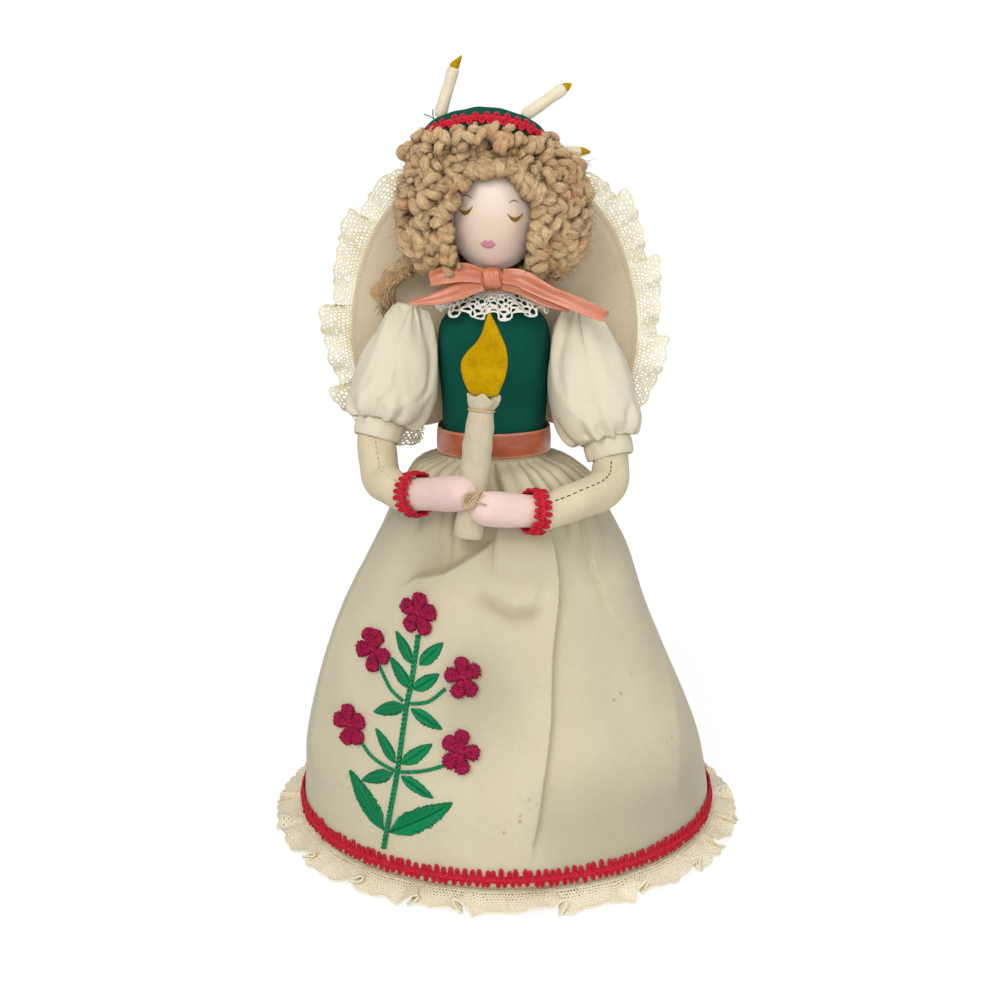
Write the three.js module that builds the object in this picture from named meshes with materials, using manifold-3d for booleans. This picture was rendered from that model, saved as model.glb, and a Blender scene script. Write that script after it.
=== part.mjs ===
// Angel tree topper: a stuffed cloth doll on a stiff bell form, with padded wings,
// a crown of cloth candles and one candle held in both hands.
// Millimetres, +Z up, front towards -Y. Left and right are the doll's own.
import * as THREE from 'three';
import { mergeVertices } from 'three/addons/utils/BufferGeometryUtils.js';
import Module from 'manifold-3d';

const wasm = await Module();
wasm.setup();

// Clearance between neighbours, and the thickness of each material
const gap = 0.3;
const clothThickness = 0.9;
const ribbonThickness = 0.8;
const laceThickness = 0.8;
const braidThickness = 1.6;
const formThickness = 1.4;

// The upper body stands this far to the doll's right of the hem's centre
const lean = 5;
const leanHeight = 80;
const sway = 2.4;

// Bell form: foot, where it turns from upright to sloping, hip and deck
const formFootRadius = 82.3;
const formBreakRadius = 77;
const formBreakHeight = 41;
const formHipRadius = 41.6;
const formHipHeight = 128;
const formShoulderRadius = 29.3;
const formShoulderDrop = 4.8;
const formHeight = 150;
const dowelRadius = 3;

// Skirt folds: short gathers under the waist and broad drapes below them
const hemHeight = 6;
const gatherCount = 12;
const gatherDepth = 2.8;
const drapeCount = 8;
const drapeDepth = 2.2;

// Lapped folds: where the edge runs at the hem and at the hip (degrees from the front towards the doll's left),
// its depth, the side that lies on top (-1 is the doll's right), and the heights that it runs between
const lapRise = 11;
const lapDrop = 2;
const laps = [
  { hem: -152, hip: -140, depth: 2, side: 1, low: 10, high: 138 },
  { hem: -108, hip: -112, depth: 1.8, side: -1, low: 10, high: 138 },
  { hem: -62, hip: -76, depth: 1.5, side: -1, low: 26, high: 132 },
  { hem: -4, hip: -2, depth: 2.4, side: 1, low: 104, high: 136 },
  { hem: 5, hip: 26, depth: 2.4, side: -1, low: 12, high: 132 },
  { hem: 60, hip: 46, depth: 2, side: 1, low: 86, high: 130 },
  { hem: 112, hip: 126, depth: 1.9, side: 1, low: 10, high: 138 },
  { hem: 163, hip: 150, depth: 2.1, side: -1, low: 10, high: 138 },
];

// The front's hanging folds: a ridge's depth, half its breadth, and its height at turns in degrees from the front
const swags = [
  { depth: 2.2, breadth: 7, turns: [-46, -37.5, -23, -3], heights: [103, 106.4, 110, 121] },
  { depth: 1.6, breadth: 7, turns: [-8, 0, 7, 17], heights: [115, 112, 108.6, 113] },
];

// Trim at the hem
const hemBraidHeight = 8;
const hemLaceWidth = 12.7;
const hemLaceFlutes = 20;
const hemLaceWave = 2.9;

// Body
const waistRadius = 19;
const chestRadius = 20.6;
const chestHeight = 45;
const chestDepth = 0.82;
const shoulderRadius = 18;
const shoulderHeight = 53.5;
const neckRadius = 8;
const neckHeight = 71;
const beltWidth = 9.5;
const collarRadius = 22;
const collarBack = 0.74;
const collarFlutes = 16;
const collarWave = 1.1;
const neckRibbonWidth = 7;
const tailWidth = 9.2;

// Head, hair and crown
const headRadius = 17.6;
const headHeight = 41;
const hairRadius = 36;
const hairFront = 24;
const hairBack = 20;
const hairRise = 32;
const hairLump = 1.8;
const faceWidth = 32;
const faceHeight = 40;
const crownRadius = 23.5;
const crownDepth = 24;
const crownTilt = 36;
const crownBandHeight = 8.5;
const crownBandThickness = 4.6;
const crownBraidHeight = 5;
const crownCandleRadius = 2.3;
const crownCandleLength = 16.5;
const crownFlameLength = 5;

// Arms
const puffRadius = 16;
const puffGather = 1.1;
const armRadius = 7.2;
const cuffLength = 7.5;
const cuffThickness = 1.8;
const handRadius = 6.4;
const wristBraidLength = 6.5;
const heldCandleRadius = 5.8;
const heldCandleLength = 52;
const heldFlameHeight = 28;
const heldFlameWidth = 15.5;
const heldFlameThickness = 2.4;

// Wings
const wingReach = 57;
const wingTop = 250;
const wingBottom = 157;
const wingThickness = 5.2;
const wingRoot = 2.6;
const wingLaceWidth = 12.5;
const wingLaceWave = 2.4;

const cotton = (color) => new THREE.MeshStandardMaterial({ color, roughness: 0.9, metalness: 0 });
const skirtCotton = cotton('#e4dfca');
const greenCotton = cotton('#10493e');
const skinCotton = cotton('#e3cfb9');
const sleeveCotton = cotton('#e4ddc3');
const wingCotton = cotton('#cbb99b');
const candleCotton = cotton('#e6dec6');
const buckram = cotton('#d6cdb6');
const lace = cotton('#eae4cf');
const redBraid = cotton('#b81836');
const yarn = cotton('#ae9171');
const felt = cotton('#c69d05');
const satin = new THREE.MeshStandardMaterial({ color: '#b87355', roughness: 0.45, metalness: 0 });
const wood = new THREE.MeshStandardMaterial({ color: '#c9a876', roughness: 0.7, metalness: 0 });

const model = new THREE.Group();

function vec(x, y, z) {
  return new THREE.Vector3(x, y, z);
}

// Merges shared corners, drops empty faces and turns the surface to face out.
function closed(geometry) {
  const bare = new THREE.BufferGeometry();
  bare.setAttribute('position', geometry.getAttribute('position'));
  bare.setIndex(geometry.index);
  const merged = mergeVertices(bare, 1e-3);
  const at = merged.getAttribute('position');
  const source = merged.index.array;
  const a = vec(0, 0, 0);
  const b = vec(0, 0, 0);
  const c = vec(0, 0, 0);
  const faces = [];
  let volume = 0;
  for (let k = 0; k < source.length; k += 3) {
    const [i, j, l] = [source[k], source[k + 1], source[k + 2]];
    if (i === j || j === l || l === i) continue;
    a.fromBufferAttribute(at, i);
    b.fromBufferAttribute(at, j);
    c.fromBufferAttribute(at, l);
    volume += a.dot(b.cross(c));
    faces.push(i, j, l);
  }
  if (volume < 0) faces.reverse();
  merged.setIndex(faces);
  return merged;
}

// Joins equal rings of points into one surface; a row that isn't looped is capped at both ends.
function loft(rings, looped) {
  const rows = rings.length;
  const around = rings[0].length;
  const points = rings.flat();
  const faces = [];
  const last = looped ? rows : rows - 1;
  for (let row = 0; row < last; row += 1) {
    const next = ((row + 1) % rows) * around;
    for (let column = 0; column < around; column += 1) {
      const side = (column + 1) % around;
      const here = row * around;
      faces.push(here + column, here + side, next + side);
      faces.push(here + column, next + side, next + column);
    }
  }
  if (!looped) {
    for (const row of [0, rows - 1]) {
      const middle = rings[row].reduce((sum, p) => sum.add(p), vec(0, 0, 0));
      const centre = points.push(middle.divideScalar(around)) - 1;
      for (let column = 0; column < around; column += 1) {
        const here = row * around + column;
        const side = row * around + ((column + 1) % around);
        if (row === 0) faces.push(centre, side, here);
        else faces.push(centre, here, side);
      }
    }
  }
  const geometry = new THREE.BufferGeometry().setFromPoints(points);
  geometry.setIndex(faces);
  return closed(geometry);
}

// A sheet of even thickness about a grid of middle points, rows along it and columns across it.
function sheet(grid, thickness, looped) {
  const rows = grid.length;
  const columns = grid[0].length;
  const rings = grid.map((line, row) => {
    const before = looped ? grid[(row + rows - 1) % rows] : grid[Math.max(row - 1, 0)];
    const after = looped ? grid[(row + 1) % rows] : grid[Math.min(row + 1, rows - 1)];
    const lift = line.map((point, column) => {
      const along = after[column].clone().sub(before[column]);
      const ahead = line[Math.min(column + 1, columns - 1)];
      const behind = line[Math.max(column - 1, 0)];
      const across = ahead.clone().sub(behind);
      return along.cross(across).setLength(thickness / 2);
    });
    const front = line.map((point, column) => point.clone().add(lift[column]));
    const back = line.map((point, column) => point.clone().sub(lift[column]));
    return [...front, ...back.reverse()];
  });
  return loft(rings, looped);
}

// A closed profile of [radius, height] pairs turned about Z.
function revolve(profile, sides) {
  const points = [...profile, profile[0]].map(([r, z]) => new THREE.Vector2(r, z));
  const lathe = new THREE.LatheGeometry(points, sides);
  lathe.rotateX(Math.PI / 2);
  return closed(lathe);
}

// A round limb along a curve; stations are [share of length, radius] and edge sets where the ring starts.
function limb(curve, stations, edge, sides) {
  const rings = stations.map(([share, radius]) => {
    const centre = curve.getPointAt(share);
    const along = curve.getTangentAt(share);
    const side = edge.clone().addScaledVector(along, -edge.dot(along)).normalize();
    const up = along.clone().cross(side);
    return Array.from({ length: sides }, (_, k) => {
      const turn = (k / sides) * 2 * Math.PI;
      const out = side.clone().multiplyScalar(Math.cos(turn) * radius);
      return out.addScaledVector(up, Math.sin(turn) * radius).add(centre);
    });
  });
  return loft(rings, false);
}

// Moves a shape made about +Z to a point and turns it to an axis.
function placed(geometry, point, axis) {
  const turn = new THREE.Quaternion().setFromUnitVectors(vec(0, 0, 1), axis);
  geometry.applyQuaternion(turn);
  return geometry.translate(point.x, point.y, point.z);
}

function solid(geometry) {
  const source = closed(geometry);
  const vertProperties = new Float32Array(source.getAttribute('position').array);
  const triVerts = new Uint32Array(source.index.array);
  return new wasm.Manifold(new wasm.Mesh({ numProp: 3, vertProperties, triVerts }));
}

// One geometry with the others cut away.
function cut(geometry, ...tools) {
  let body = solid(geometry);
  for (const tool of tools) body = body.subtract(solid(tool));
  const largest = body.decompose().sort((p, q) => q.volume() - p.volume())[0];
  const mesh = largest.getMesh();
  const result = new THREE.BufferGeometry();
  result.setAttribute('position', new THREE.BufferAttribute(mesh.vertProperties, 3));
  result.setIndex([...mesh.triVerts]);
  return result;
}

function add(name, geometry, material) {
  geometry.computeVertexNormals();
  const mesh = new THREE.Mesh(geometry, material);
  mesh.name = name;
  model.add(mesh);
}

const rise = THREE.MathUtils.smoothstep;
const turns = (count) => Array.from({ length: count }, (_, k) => (k / count) * 2 * Math.PI);
const swayShare = (z) => rise(z, leanHeight + 4, leanHeight + 36) * (1 - rise(z, formHeight - 12, formHeight - 1));
const axisX = (z) => sway * swayShare(z) - lean * rise(z, hemHeight, leanHeight);

// Layers at the waist, from the body outwards
const bodiceWaist = waistRadius + gap + clothThickness;
const bandInner = bodiceWaist + gap;
const bandOuter = bandInner + clothThickness;
const beltInner = bandOuter + gap;
const beltLow = formHeight + 2.2;
const beltHigh = beltLow + beltWidth;
const deckRadius = bandInner - gap;

// Bell profile from the foot up to the deck's edge
const bellCurve = new THREE.SplineCurve([
  new THREE.Vector2(formFootRadius - 1.4, formBreakHeight * 0.5),
  new THREE.Vector2(formBreakRadius, formBreakHeight),
  new THREE.Vector2((formBreakRadius + formHipRadius) / 2, (formBreakHeight + formHipHeight) / 2 + 4),
  new THREE.Vector2(formHipRadius, formHipHeight),
  new THREE.Vector2(formShoulderRadius, formHeight - formShoulderDrop),
  new THREE.Vector2(deckRadius, formHeight),
]);
const bell = [
  [formFootRadius, 0],
  [formFootRadius, hemHeight],
  ...bellCurve.getPoints(10).map((p) => [p.x, p.y]),
];

// A profile moved outwards along its own normals.
function outset(profile, distance) {
  return profile.map(([r, z], k) => {
    const before = profile[Math.max(k - 1, 0)];
    const after = profile[Math.min(k + 1, profile.length - 1)];
    const length = Math.hypot(after[0] - before[0], after[1] - before[1]);
    const moveR = (after[1] - before[1]) / length;
    const moveZ = (before[0] - after[0]) / length;
    return [r + moveR * distance, z + moveZ * distance];
  });
}

function skirtRadius(z) {
  const side = outset(bell, gap + clothThickness);
  const k = side.findIndex((p) => p[1] > z);
  const share = (z - side[k - 1][1]) / (side[k][1] - side[k - 1][1]);
  return THREE.MathUtils.lerp(side[k - 1][0], side[k][0], share);
}

// Bell form with its deck under the body
const formMiddle = outset(bell, -formThickness / 2).slice(0, -1);
formMiddle.push([deckRadius - formThickness, formHeight - formThickness / 2]);
formMiddle.push([dowelRadius + gap, formHeight - formThickness / 2]);
const formGrid = turns(24).map((turn) =>
  formMiddle.map(([r, z]) => vec(axisX(z) + r * Math.cos(turn), r * Math.sin(turn), z)),
);
add('bell_form', sheet(formGrid, formThickness, true), buckram);

// Skirt: the bell's own line moved out by its folds, then the waistband inside the belt
const skirtLine = outset(bell, gap + clothThickness / 2).slice(1, -1);
const bandMiddle = (bandInner + bandOuter) / 2;
const degree = Math.PI / 180;
const lapAt = (lap, z) => THREE.MathUtils.lerp(lap.hem, lap.hip, Math.min(z / formHipHeight, 1)) * degree;

// A lap lifts the cloth slowly up to its edge and drops past it.
function lapLift(lap, turn, r, z) {
  const off = turn - lapAt(lap, z);
  const past = -lap.side * r * Math.atan2(Math.sin(off), Math.cos(off));
  const fade = rise(z, lap.low, lap.low + 18) * (1 - rise(z, lap.high - 14, lap.high));
  const share = past < 0 ? Math.exp(past / lapRise) : Math.max(1 - past / lapDrop, 0);
  return lap.depth * fade * share;
}

// A swag is a ridge along its own line, and fades out beyond the line's ends.
function swagLift(swag, turn, z) {
  const at = Math.atan2(Math.sin(turn), Math.cos(turn)) / degree;
  const last = swag.turns.length - 1;
  if (at <= swag.turns[0] || at >= swag.turns[last]) return 0;
  const k = swag.turns.findIndex((t) => t > at);
  const share = (at - swag.turns[k - 1]) / (swag.turns[k] - swag.turns[k - 1]);
  const height = THREE.MathUtils.lerp(swag.heights[k - 1], swag.heights[k], share);
  const fade = rise(at, swag.turns[0], swag.turns[0] + 10) * (1 - rise(at, swag.turns[last] - 5, swag.turns[last]));
  return swag.depth * fade * Math.exp(-(((z - height) / swag.breadth) ** 2));
}

// Columns of the skirt at a height, measured from the front: two at each lap's edge and even ones between laps
function skirtTurns(r, z) {
  return laps.flatMap((lap, k) => {
    const next = laps[(k + 1) % laps.length];
    const round = k === laps.length - 1 ? 360 : 0;
    const count = Math.ceil(Math.max((next.hem + round - lap.hem) / 9, (next.hip + round - lap.hip) / 11.5));
    const drop = lapDrop / r;
    const start = lapAt(lap, z) - (lap.side > 0 ? drop : 0);
    const end = lapAt(next, z) + round * degree - (next.side > 0 ? drop : 0);
    const between = (share) => THREE.MathUtils.lerp(start + drop, end, share);
    return [start, ...Array.from({ length: count }, (_, n) => between(n / count))];
  });
}

function skirtRow(r, z, folded) {
  const high = rise(z, formHipHeight - 30, formHipHeight + 4) * (1 - rise(z, formHeight - 6, formHeight - 1));
  const low = rise(z, hemHeight + 12, hemHeight + 50) * (1 - rise(z, formHipHeight - 20, formHipHeight + 8));
  return skirtTurns(r, z).map((turn) => {
    const gather = 0.5 + 0.5 * Math.cos(gatherCount * turn);
    const drape = 0.5 - 0.5 * Math.cos(drapeCount * turn + 0.6 * Math.sin(turn));
    let out = r;
    if (folded) {
      out += gatherDepth * high * gather + drapeDepth * low * drape;
      for (const lap of laps) out += lapLift(lap, turn, r, z);
      for (const swag of swags) out += swagLift(swag, turn, z);
    }
    return vec(axisX(z) + out * Math.sin(turn), -out * Math.cos(turn), z);
  });
}
const skirtRows = skirtLine.map(([r, z]) => skirtRow(r, z, true));
for (const z of [formHeight + 1.4, beltHigh - 0.8]) skirtRows.push(skirtRow(bandMiddle, z, false));
const skirtGrid = skirtRows[0].map((_, column) => skirtRows.map((row) => row[column]));
add('skirt', sheet(skirtGrid, clothThickness, true), skirtCotton);

// Loop braid round the hem
const hemSide = (z, out) => [formFootRadius + gap + clothThickness + out, z];
const hemBraidLow = hemHeight + 1;
const hemBraidSlope = skirtRadius(hemBraidLow + hemBraidHeight) - formFootRadius - gap - clothThickness;
const hemBraid = revolve(
  [
    hemSide(hemBraidLow, gap),
    hemSide(hemBraidLow, gap + braidThickness),
    hemSide(hemBraidLow + hemBraidHeight, gap + braidThickness + hemBraidSlope * 0.5),
    hemSide(hemBraidLow + hemBraidHeight, gap),
  ],
  48,
);
const hemAt = hemBraid.getAttribute('position');
for (let k = 0; k < hemAt.count; k += 1) hemAt.setX(k, hemAt.getX(k) + axisX(hemAt.getZ(k)));
add('hem_braid', hemBraid, redBraid);

// Lace ruffle under the hem
const laceMiddle = laceThickness / 2 + hemLaceWave + 0.5;
const laceInner = formFootRadius + gap;
const hemLaceGrid = turns(hemLaceFlutes * 5).map((turn) =>
  [0, 0.5, 1].map((share) => {
    const wave = hemLaceWave * share * Math.cos(hemLaceFlutes * turn);
    const r = laceInner + hemLaceWidth * share;
    return vec(r * Math.cos(turn), r * Math.sin(turn), laceMiddle + wave);
  }),
);
add('hem_lace', sheet(hemLaceGrid, laceThickness, true), lace);

// Body: straight at the waist, swelling to the chest, then shoulders and neck
const bodyBase = formHeight + gap;
const neckTop = bodyBase + neckHeight;
const sideCurve = new THREE.SplineCurve([
  new THREE.Vector2(waistRadius, beltHigh - bodyBase),
  new THREE.Vector2((waistRadius + chestRadius) / 2, (beltHigh - bodyBase + chestHeight) / 2),
  new THREE.Vector2(chestRadius, chestHeight),
  new THREE.Vector2(shoulderRadius, shoulderHeight),
  new THREE.Vector2(neckRadius + 2.5, shoulderHeight + 4.8),
]);
const bodySide = [[waistRadius, 0], ...sideCurve.getPoints(8).map((p) => [p.x, p.y])];
const bodyProfile = [...bodySide, [neckRadius, shoulderHeight + 8], [neckRadius, neckHeight]];

// Share of the width that the depth takes at a height above the deck
function depthAt(z) {
  const belt = beltHigh - bodyBase;
  const upper = rise(z, belt, belt + 14) * (1 - rise(z, shoulderHeight, shoulderHeight + 8));
  return 1 - (1 - chestDepth) * upper;
}
const bodyRing = (sides) => ([r, z]) =>
  turns(sides).map((t) => vec(r * Math.cos(t) - lean, r * Math.sin(t) * depthAt(z), bodyBase + z));
const dowelBore = new THREE.CylinderGeometry(dowelRadius + gap, dowelRadius + gap, 240, 12);
dowelBore.rotateX(Math.PI / 2).translate(-lean, 0, formHeight);
add('torso', cut(loft(bodyProfile.map(bodyRing(16)), false), dowelBore), skinCotton);

const headBottom = neckTop + gap;
const headCentre = vec(-lean, -2, headBottom + headHeight / 2);
const dowelLow = formHeight - 12;
const dowelHigh = headCentre.z;
const dowel = new THREE.CylinderGeometry(dowelRadius, dowelRadius, dowelHigh - dowelLow, 12);
dowel.rotateX(Math.PI / 2).translate(-lean, 0, (dowelHigh + dowelLow) / 2);
add('neck_dowel', closed(dowel), wood);

const bodiceLine = outset(bodySide, gap + clothThickness / 2);
bodiceLine[0] = [waistRadius + gap + clothThickness / 2, gap];
const bodiceGrid = turns(24).map((t) =>
  bodiceLine.map(([r, z]) => {
    const depth = depthAt(z);
    return vec(r * Math.cos(t) - lean, r * Math.sin(t) * depth, bodyBase + z);
  }),
);
add('bodice', sheet(bodiceGrid, clothThickness, true), greenCotton);

const belt = revolve(
  [
    [beltInner, beltLow],
    [beltInner + ribbonThickness, beltLow],
    [beltInner + ribbonThickness, beltHigh],
    [beltInner, beltHigh],
  ],
  40,
);
add('waist_ribbon', belt.translate(-lean, 0, 0), satin);

// Lace collar, ribbon, knot and tails
const ribbonLow = neckTop - neckRibbonWidth - 0.5;
const collarTop = ribbonLow - gap - laceThickness;
const shoulderTop = bodyBase + shoulderHeight;
const collarGrid = turns(collarFlutes * 3).map((turn) =>
  [0, 0.45, 1].map((share) => {
    const r = THREE.MathUtils.lerp(neckRadius + gap + 0.2, collarRadius, share);
    const drop = THREE.MathUtils.lerp(collarTop, shoulderTop + 2.6, share ** 1.2);
    const z = drop + collarWave * share * Math.cos(collarFlutes * turn);
    const depth = Math.sin(turn) > 0 ? 1 - (1 - collarBack) * share : 1;
    return vec(r * Math.cos(turn) - lean, r * Math.sin(turn) * depth, z);
  }),
);
add('collar_lace', sheet(collarGrid, laceThickness, true), lace);

const ribbonOuter = neckRadius + gap + ribbonThickness;
const neckRibbon = revolve(
  [
    [neckRadius + gap, ribbonLow],
    [ribbonOuter, ribbonLow],
    [ribbonOuter, ribbonLow + neckRibbonWidth],
    [neckRadius + gap, ribbonLow + neckRibbonWidth],
  ],
  24,
);
add('neck_ribbon', neckRibbon.translate(-lean, 0, 0), satin);

const knotSize = vec(9.4, 6, 7.6);
const knotY = -ribbonOuter - 2 * gap - knotSize.y / 2;
const knotZ = ribbonLow + neckRibbonWidth / 2 + 2.2;
function knotShape(grow) {
  const knot = new THREE.SphereGeometry(1, 14, 8);
  const at = knot.getAttribute('position');
  const square = (value) => Math.sign(value) * Math.abs(value) ** 0.6;
  for (let k = 0; k < at.count; k += 1) {
    at.setXYZ(k, square(at.getX(k)), square(at.getY(k)), square(at.getZ(k)));
  }
  knot.scale(knotSize.x / 2 + grow, knotSize.y / 2 + grow, knotSize.z / 2 + grow);
  return closed(knot.translate(-lean, knotY, knotZ));
}
add('bow_knot', knotShape(0), satin);

// A ribbon tail: a flat strip along a curve, its face kept towards a normal.
function tail(points, faceOf, grow) {
  const curve = new THREE.CatmullRomCurve3(points);
  const grid = Array.from({ length: 9 }, (_, k) => {
    const share = k / 8;
    const centre = curve.getPointAt(share);
    const face = faceOf(share).normalize();
    const across = curve.getTangentAt(share).cross(face).setLength(tailWidth / 2 + grow);
    return [centre.clone().sub(across), centre.clone(), centre.clone().add(across)];
  });
  return sheet(grid, ribbonThickness + 2 * grow, false);
}
const tailStart = knotSize.x / 2 - 1;
const tailY = knotY - 0.4;
const frontUp = (share) => vec(0, -1, 0.25 + 0.5 * share);
const rightTail = [
  vec(-lean - tailStart, tailY, knotZ - 0.4),
  vec(-lean - 13, tailY - 4, knotZ - 2.6),
  vec(-lean - 23, tailY - 5.5, knotZ - 6.2),
  vec(-lean - 31, tailY - 4, knotZ - 8.6),
];
add('right_bow_tail', cut(tail(rightTail, frontUp, 0), knotShape(gap)), satin);
const leftTail = [
  vec(-lean + tailStart, tailY, knotZ - 0.4),
  vec(-lean + 15, tailY - 5, knotZ - 2.4),
  vec(-lean + 27, tailY - 10, knotZ - 6.4),
  vec(-lean + 40, tailY - 12, knotZ - 10.8),
];
add('left_bow_tail', cut(tail(leftTail, frontUp, 0), knotShape(gap)), satin);

// Head: an egg, fuller at the cheeks
function headShape(grow) {
  const egg = new THREE.SphereGeometry(1, 24, 14);
  egg.rotateX(Math.PI / 2);
  const at = egg.getAttribute('position');
  for (let k = 0; k < at.count; k += 1) {
    const fuller = 1 - 0.05 * at.getZ(k);
    const across = headRadius + grow;
    const z = at.getZ(k) * (headHeight / 2 + grow);
    at.setXYZ(k, at.getX(k) * across * fuller, at.getY(k) * across * fuller, z);
  }
  return egg.translate(headCentre.x, headCentre.y, headCentre.z);
}
add('head', cut(headShape(0), dowelBore), skinCotton);

// Crown band: an upright padded ring, tilted up at the front
const crownCentre = vec(-lean - 4, 4.4, headCentre.z + 21.6);
const crownTurn = new THREE.Matrix4().makeRotationX(THREE.MathUtils.degToRad(-crownTilt));
function crownRing(inner, outer, low, high, sides) {
  const edge = Math.min(0.9, (high - low) / 4, (outer - inner) / 4);
  const section = [
    [inner, low + edge], [inner + edge, low], [outer - edge, low], [outer, low + edge],
    [outer, high - edge], [outer - edge, high], [inner + edge, high], [inner, high - edge],
  ];
  const rings = turns(sides).map((turn) =>
    section.map(([out, z]) => {
      const x = (crownRadius + out) * Math.cos(turn);
      const y = (crownDepth + out) * Math.sin(turn);
      return vec(x, y, z).applyMatrix4(crownTurn).add(crownCentre);
    }),
  );
  return loft(rings, true);
}
const bandHalf = crownBandThickness / 2;
const bandTop = crownBandHeight / 2;
add('crown_band', crownRing(-bandHalf, bandHalf, -bandTop, bandTop, 32), greenCotton);
const braidIn = bandHalf + gap;
const braidOut = braidIn + braidThickness;
const braidLow = bandTop - crownBraidHeight;
add('crown_braid', crownRing(braidIn, braidOut, braidLow, bandTop, 32), redBraid);

// Crown candles: each foot is a ball about its own pivot, so that it can lean on the band
const candleWays = [
  [-15.5, -1, vec(0.3, 0, 0.95)],
  [16.5, -1, vec(0.83, 0.05, 0.56)],
  [21.5, 1, vec(1, 0.26, 0.08)],
  [-17, 1, vec(0.36, -0.12, 0.92)],
];
const candleFoot = crownCandleRadius;
const footSpaces = [];
candleWays.forEach(([across, way, axis], k) => {
  const back = crownDepth * Math.sqrt(1 - (across / crownRadius) ** 2) * way;
  const seat = vec(across, back, bandTop + gap + candleFoot);
  const pivot = seat.applyMatrix4(crownTurn).add(crownCentre);
  const direction = axis.clone().normalize();
  footSpaces.push(new THREE.SphereGeometry(candleFoot + 2 * gap, 12, 8).translate(...pivot.toArray()));
  const stick = revolve(
    [
      [0, -candleFoot],
      [candleFoot * 0.5, -candleFoot * 0.87],
      [candleFoot * 0.87, -candleFoot * 0.5],
      [candleFoot, 0],
      [candleFoot * 0.92, crownCandleLength],
      [0, crownCandleLength],
    ],
    10,
  );
  add(`crown_candle_${k + 1}`, placed(stick, pivot, direction), candleCotton);
  const start = crownCandleLength + gap;
  const flame = revolve(
    [
      [0, start],
      [crownCandleRadius * 0.7, start],
      [crownCandleRadius * 0.85, start + crownFlameLength * 0.35],
      [crownCandleRadius * 0.4, start + crownFlameLength * 0.75],
      [0, start + crownFlameLength],
    ],
    8,
  );
  add(`crown_flame_${k + 1}`, placed(flame, pivot, direction), felt);
});

// Hair: a lumpy cap, cut away for the head, the face, the neck and the crown
function hairPoint(turn, up, grow) {
  const sharp = (value) => Math.sign(value) * Math.abs(value) ** 0.66;
  const flat = Math.cos(up);
  const x = sharp(flat * Math.cos(turn));
  const y = sharp(flat * Math.sin(turn));
  const z = sharp(Math.sin(up));
  const lump = hairLump * flat * Math.cos(11 * turn + 2 * up) * Math.cos(7 * up);
  const depth = y < 0 ? hairFront : hairBack;
  const drop = z < 0 ? hairRise - 6 : hairRise;
  const out = vec(x * (hairRadius + lump + grow), y * (depth + lump + grow), z * (drop + lump * 0.5 + grow));
  return out.add(vec(headCentre.x, headCentre.y, headCentre.z));
}
function hairShape(grow) {
  const levels = Array.from({ length: 13 }, (_, k) => (k / 12 - 0.5) * Math.PI * 0.97);
  return loft(levels.map((up) => turns(30).map((turn) => hairPoint(turn, up, grow))), false);
}
const faceWindow = new THREE.CylinderGeometry(0.5, 0.5, 60, 20);
faceWindow.scale(faceWidth, 1, faceHeight + 8);
faceWindow.translate(headCentre.x, headCentre.y - 34, headCentre.z - 8);
const neckWindow = new THREE.CylinderGeometry(17, 17, 40, 20);
neckWindow.rotateX(Math.PI / 2).translate(headCentre.x, headCentre.y - 4, headCentre.z - 36);
const crownWindow = crownRing(-bandHalf - gap, braidOut + gap, -bandTop - gap, bandTop + gap, 32);
const tailSpaces = [tail(rightTail, frontUp, gap), tail(leftTail, frontUp, gap)];
const hairSpaces = [headShape(gap), faceWindow, neckWindow, crownWindow, ...tailSpaces, ...footSpaces];
const hair = cut(hairShape(0), ...hairSpaces);
add('hair', hair, yarn);

const lockCurve = new THREE.CatmullRomCurve3([
  vec(headCentre.x - 30, 9, headCentre.z - 16),
  vec(headCentre.x - 39, 12, headCentre.z - 24),
  vec(headCentre.x - 44, 13.5, headCentre.z - 33),
  vec(headCentre.x - 43, 13, headCentre.z - 40),
]);
const lockStations = [[0, 4], [0.3, 4.9], [0.6, 4.7], [0.85, 3.4], [1, 1.4]];
const lock = limb(lockCurve, lockStations, vec(0, 1, 0), 8);
add('hair_lock', cut(lock, hairShape(gap)), yarn);

// Arms: one limb from inside the sleeve to the wrist, bent at the elbow
const shoulderZ = bodyBase + chestHeight + 6;
const restRadius = (z) => skirtRadius(z) + gatherDepth;
const reach = (x, z, radius) => {
  const clear = restRadius(z) + 1.2 * (radius + 0.6);
  const off = x - lean - axisX(z);
  return -Math.sqrt(Math.max(clear * clear - off * off, 0));
};
const candleTurn = vec(0.11, 0.155, 1).normalize();
const heldLow = vec(-lean - 9.5, 0, formHeight - 21);
heldLow.y = -restRadius(heldLow.z) - heldCandleRadius + 1;
const heldAt = (z) => heldLow.clone().addScaledVector(candleTurn, (z - heldLow.z) / candleTurn.z);
const heldCandle = revolve(
  [
    [0, 0],
    [heldCandleRadius * 0.7, 0],
    [heldCandleRadius * 0.97, 1.6],
    [heldCandleRadius, heldCandleLength * 0.5],
    [heldCandleRadius * 0.96, heldCandleLength - 7],
    [heldCandleRadius * 0.84, heldCandleLength - 5],
    [heldCandleRadius * 0.95, heldCandleLength],
    [0, heldCandleLength],
  ],
  16,
);
add('held_candle', placed(heldCandle, heldLow, candleTurn), candleCotton);
const heldSpace = revolve(
  [
    [0, -gap],
    [heldCandleRadius + gap, -gap],
    [heldCandleRadius + gap, heldCandleLength + gap],
    [0, heldCandleLength + gap],
  ],
  16,
);
placed(heldSpace, heldLow, candleTurn);

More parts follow.
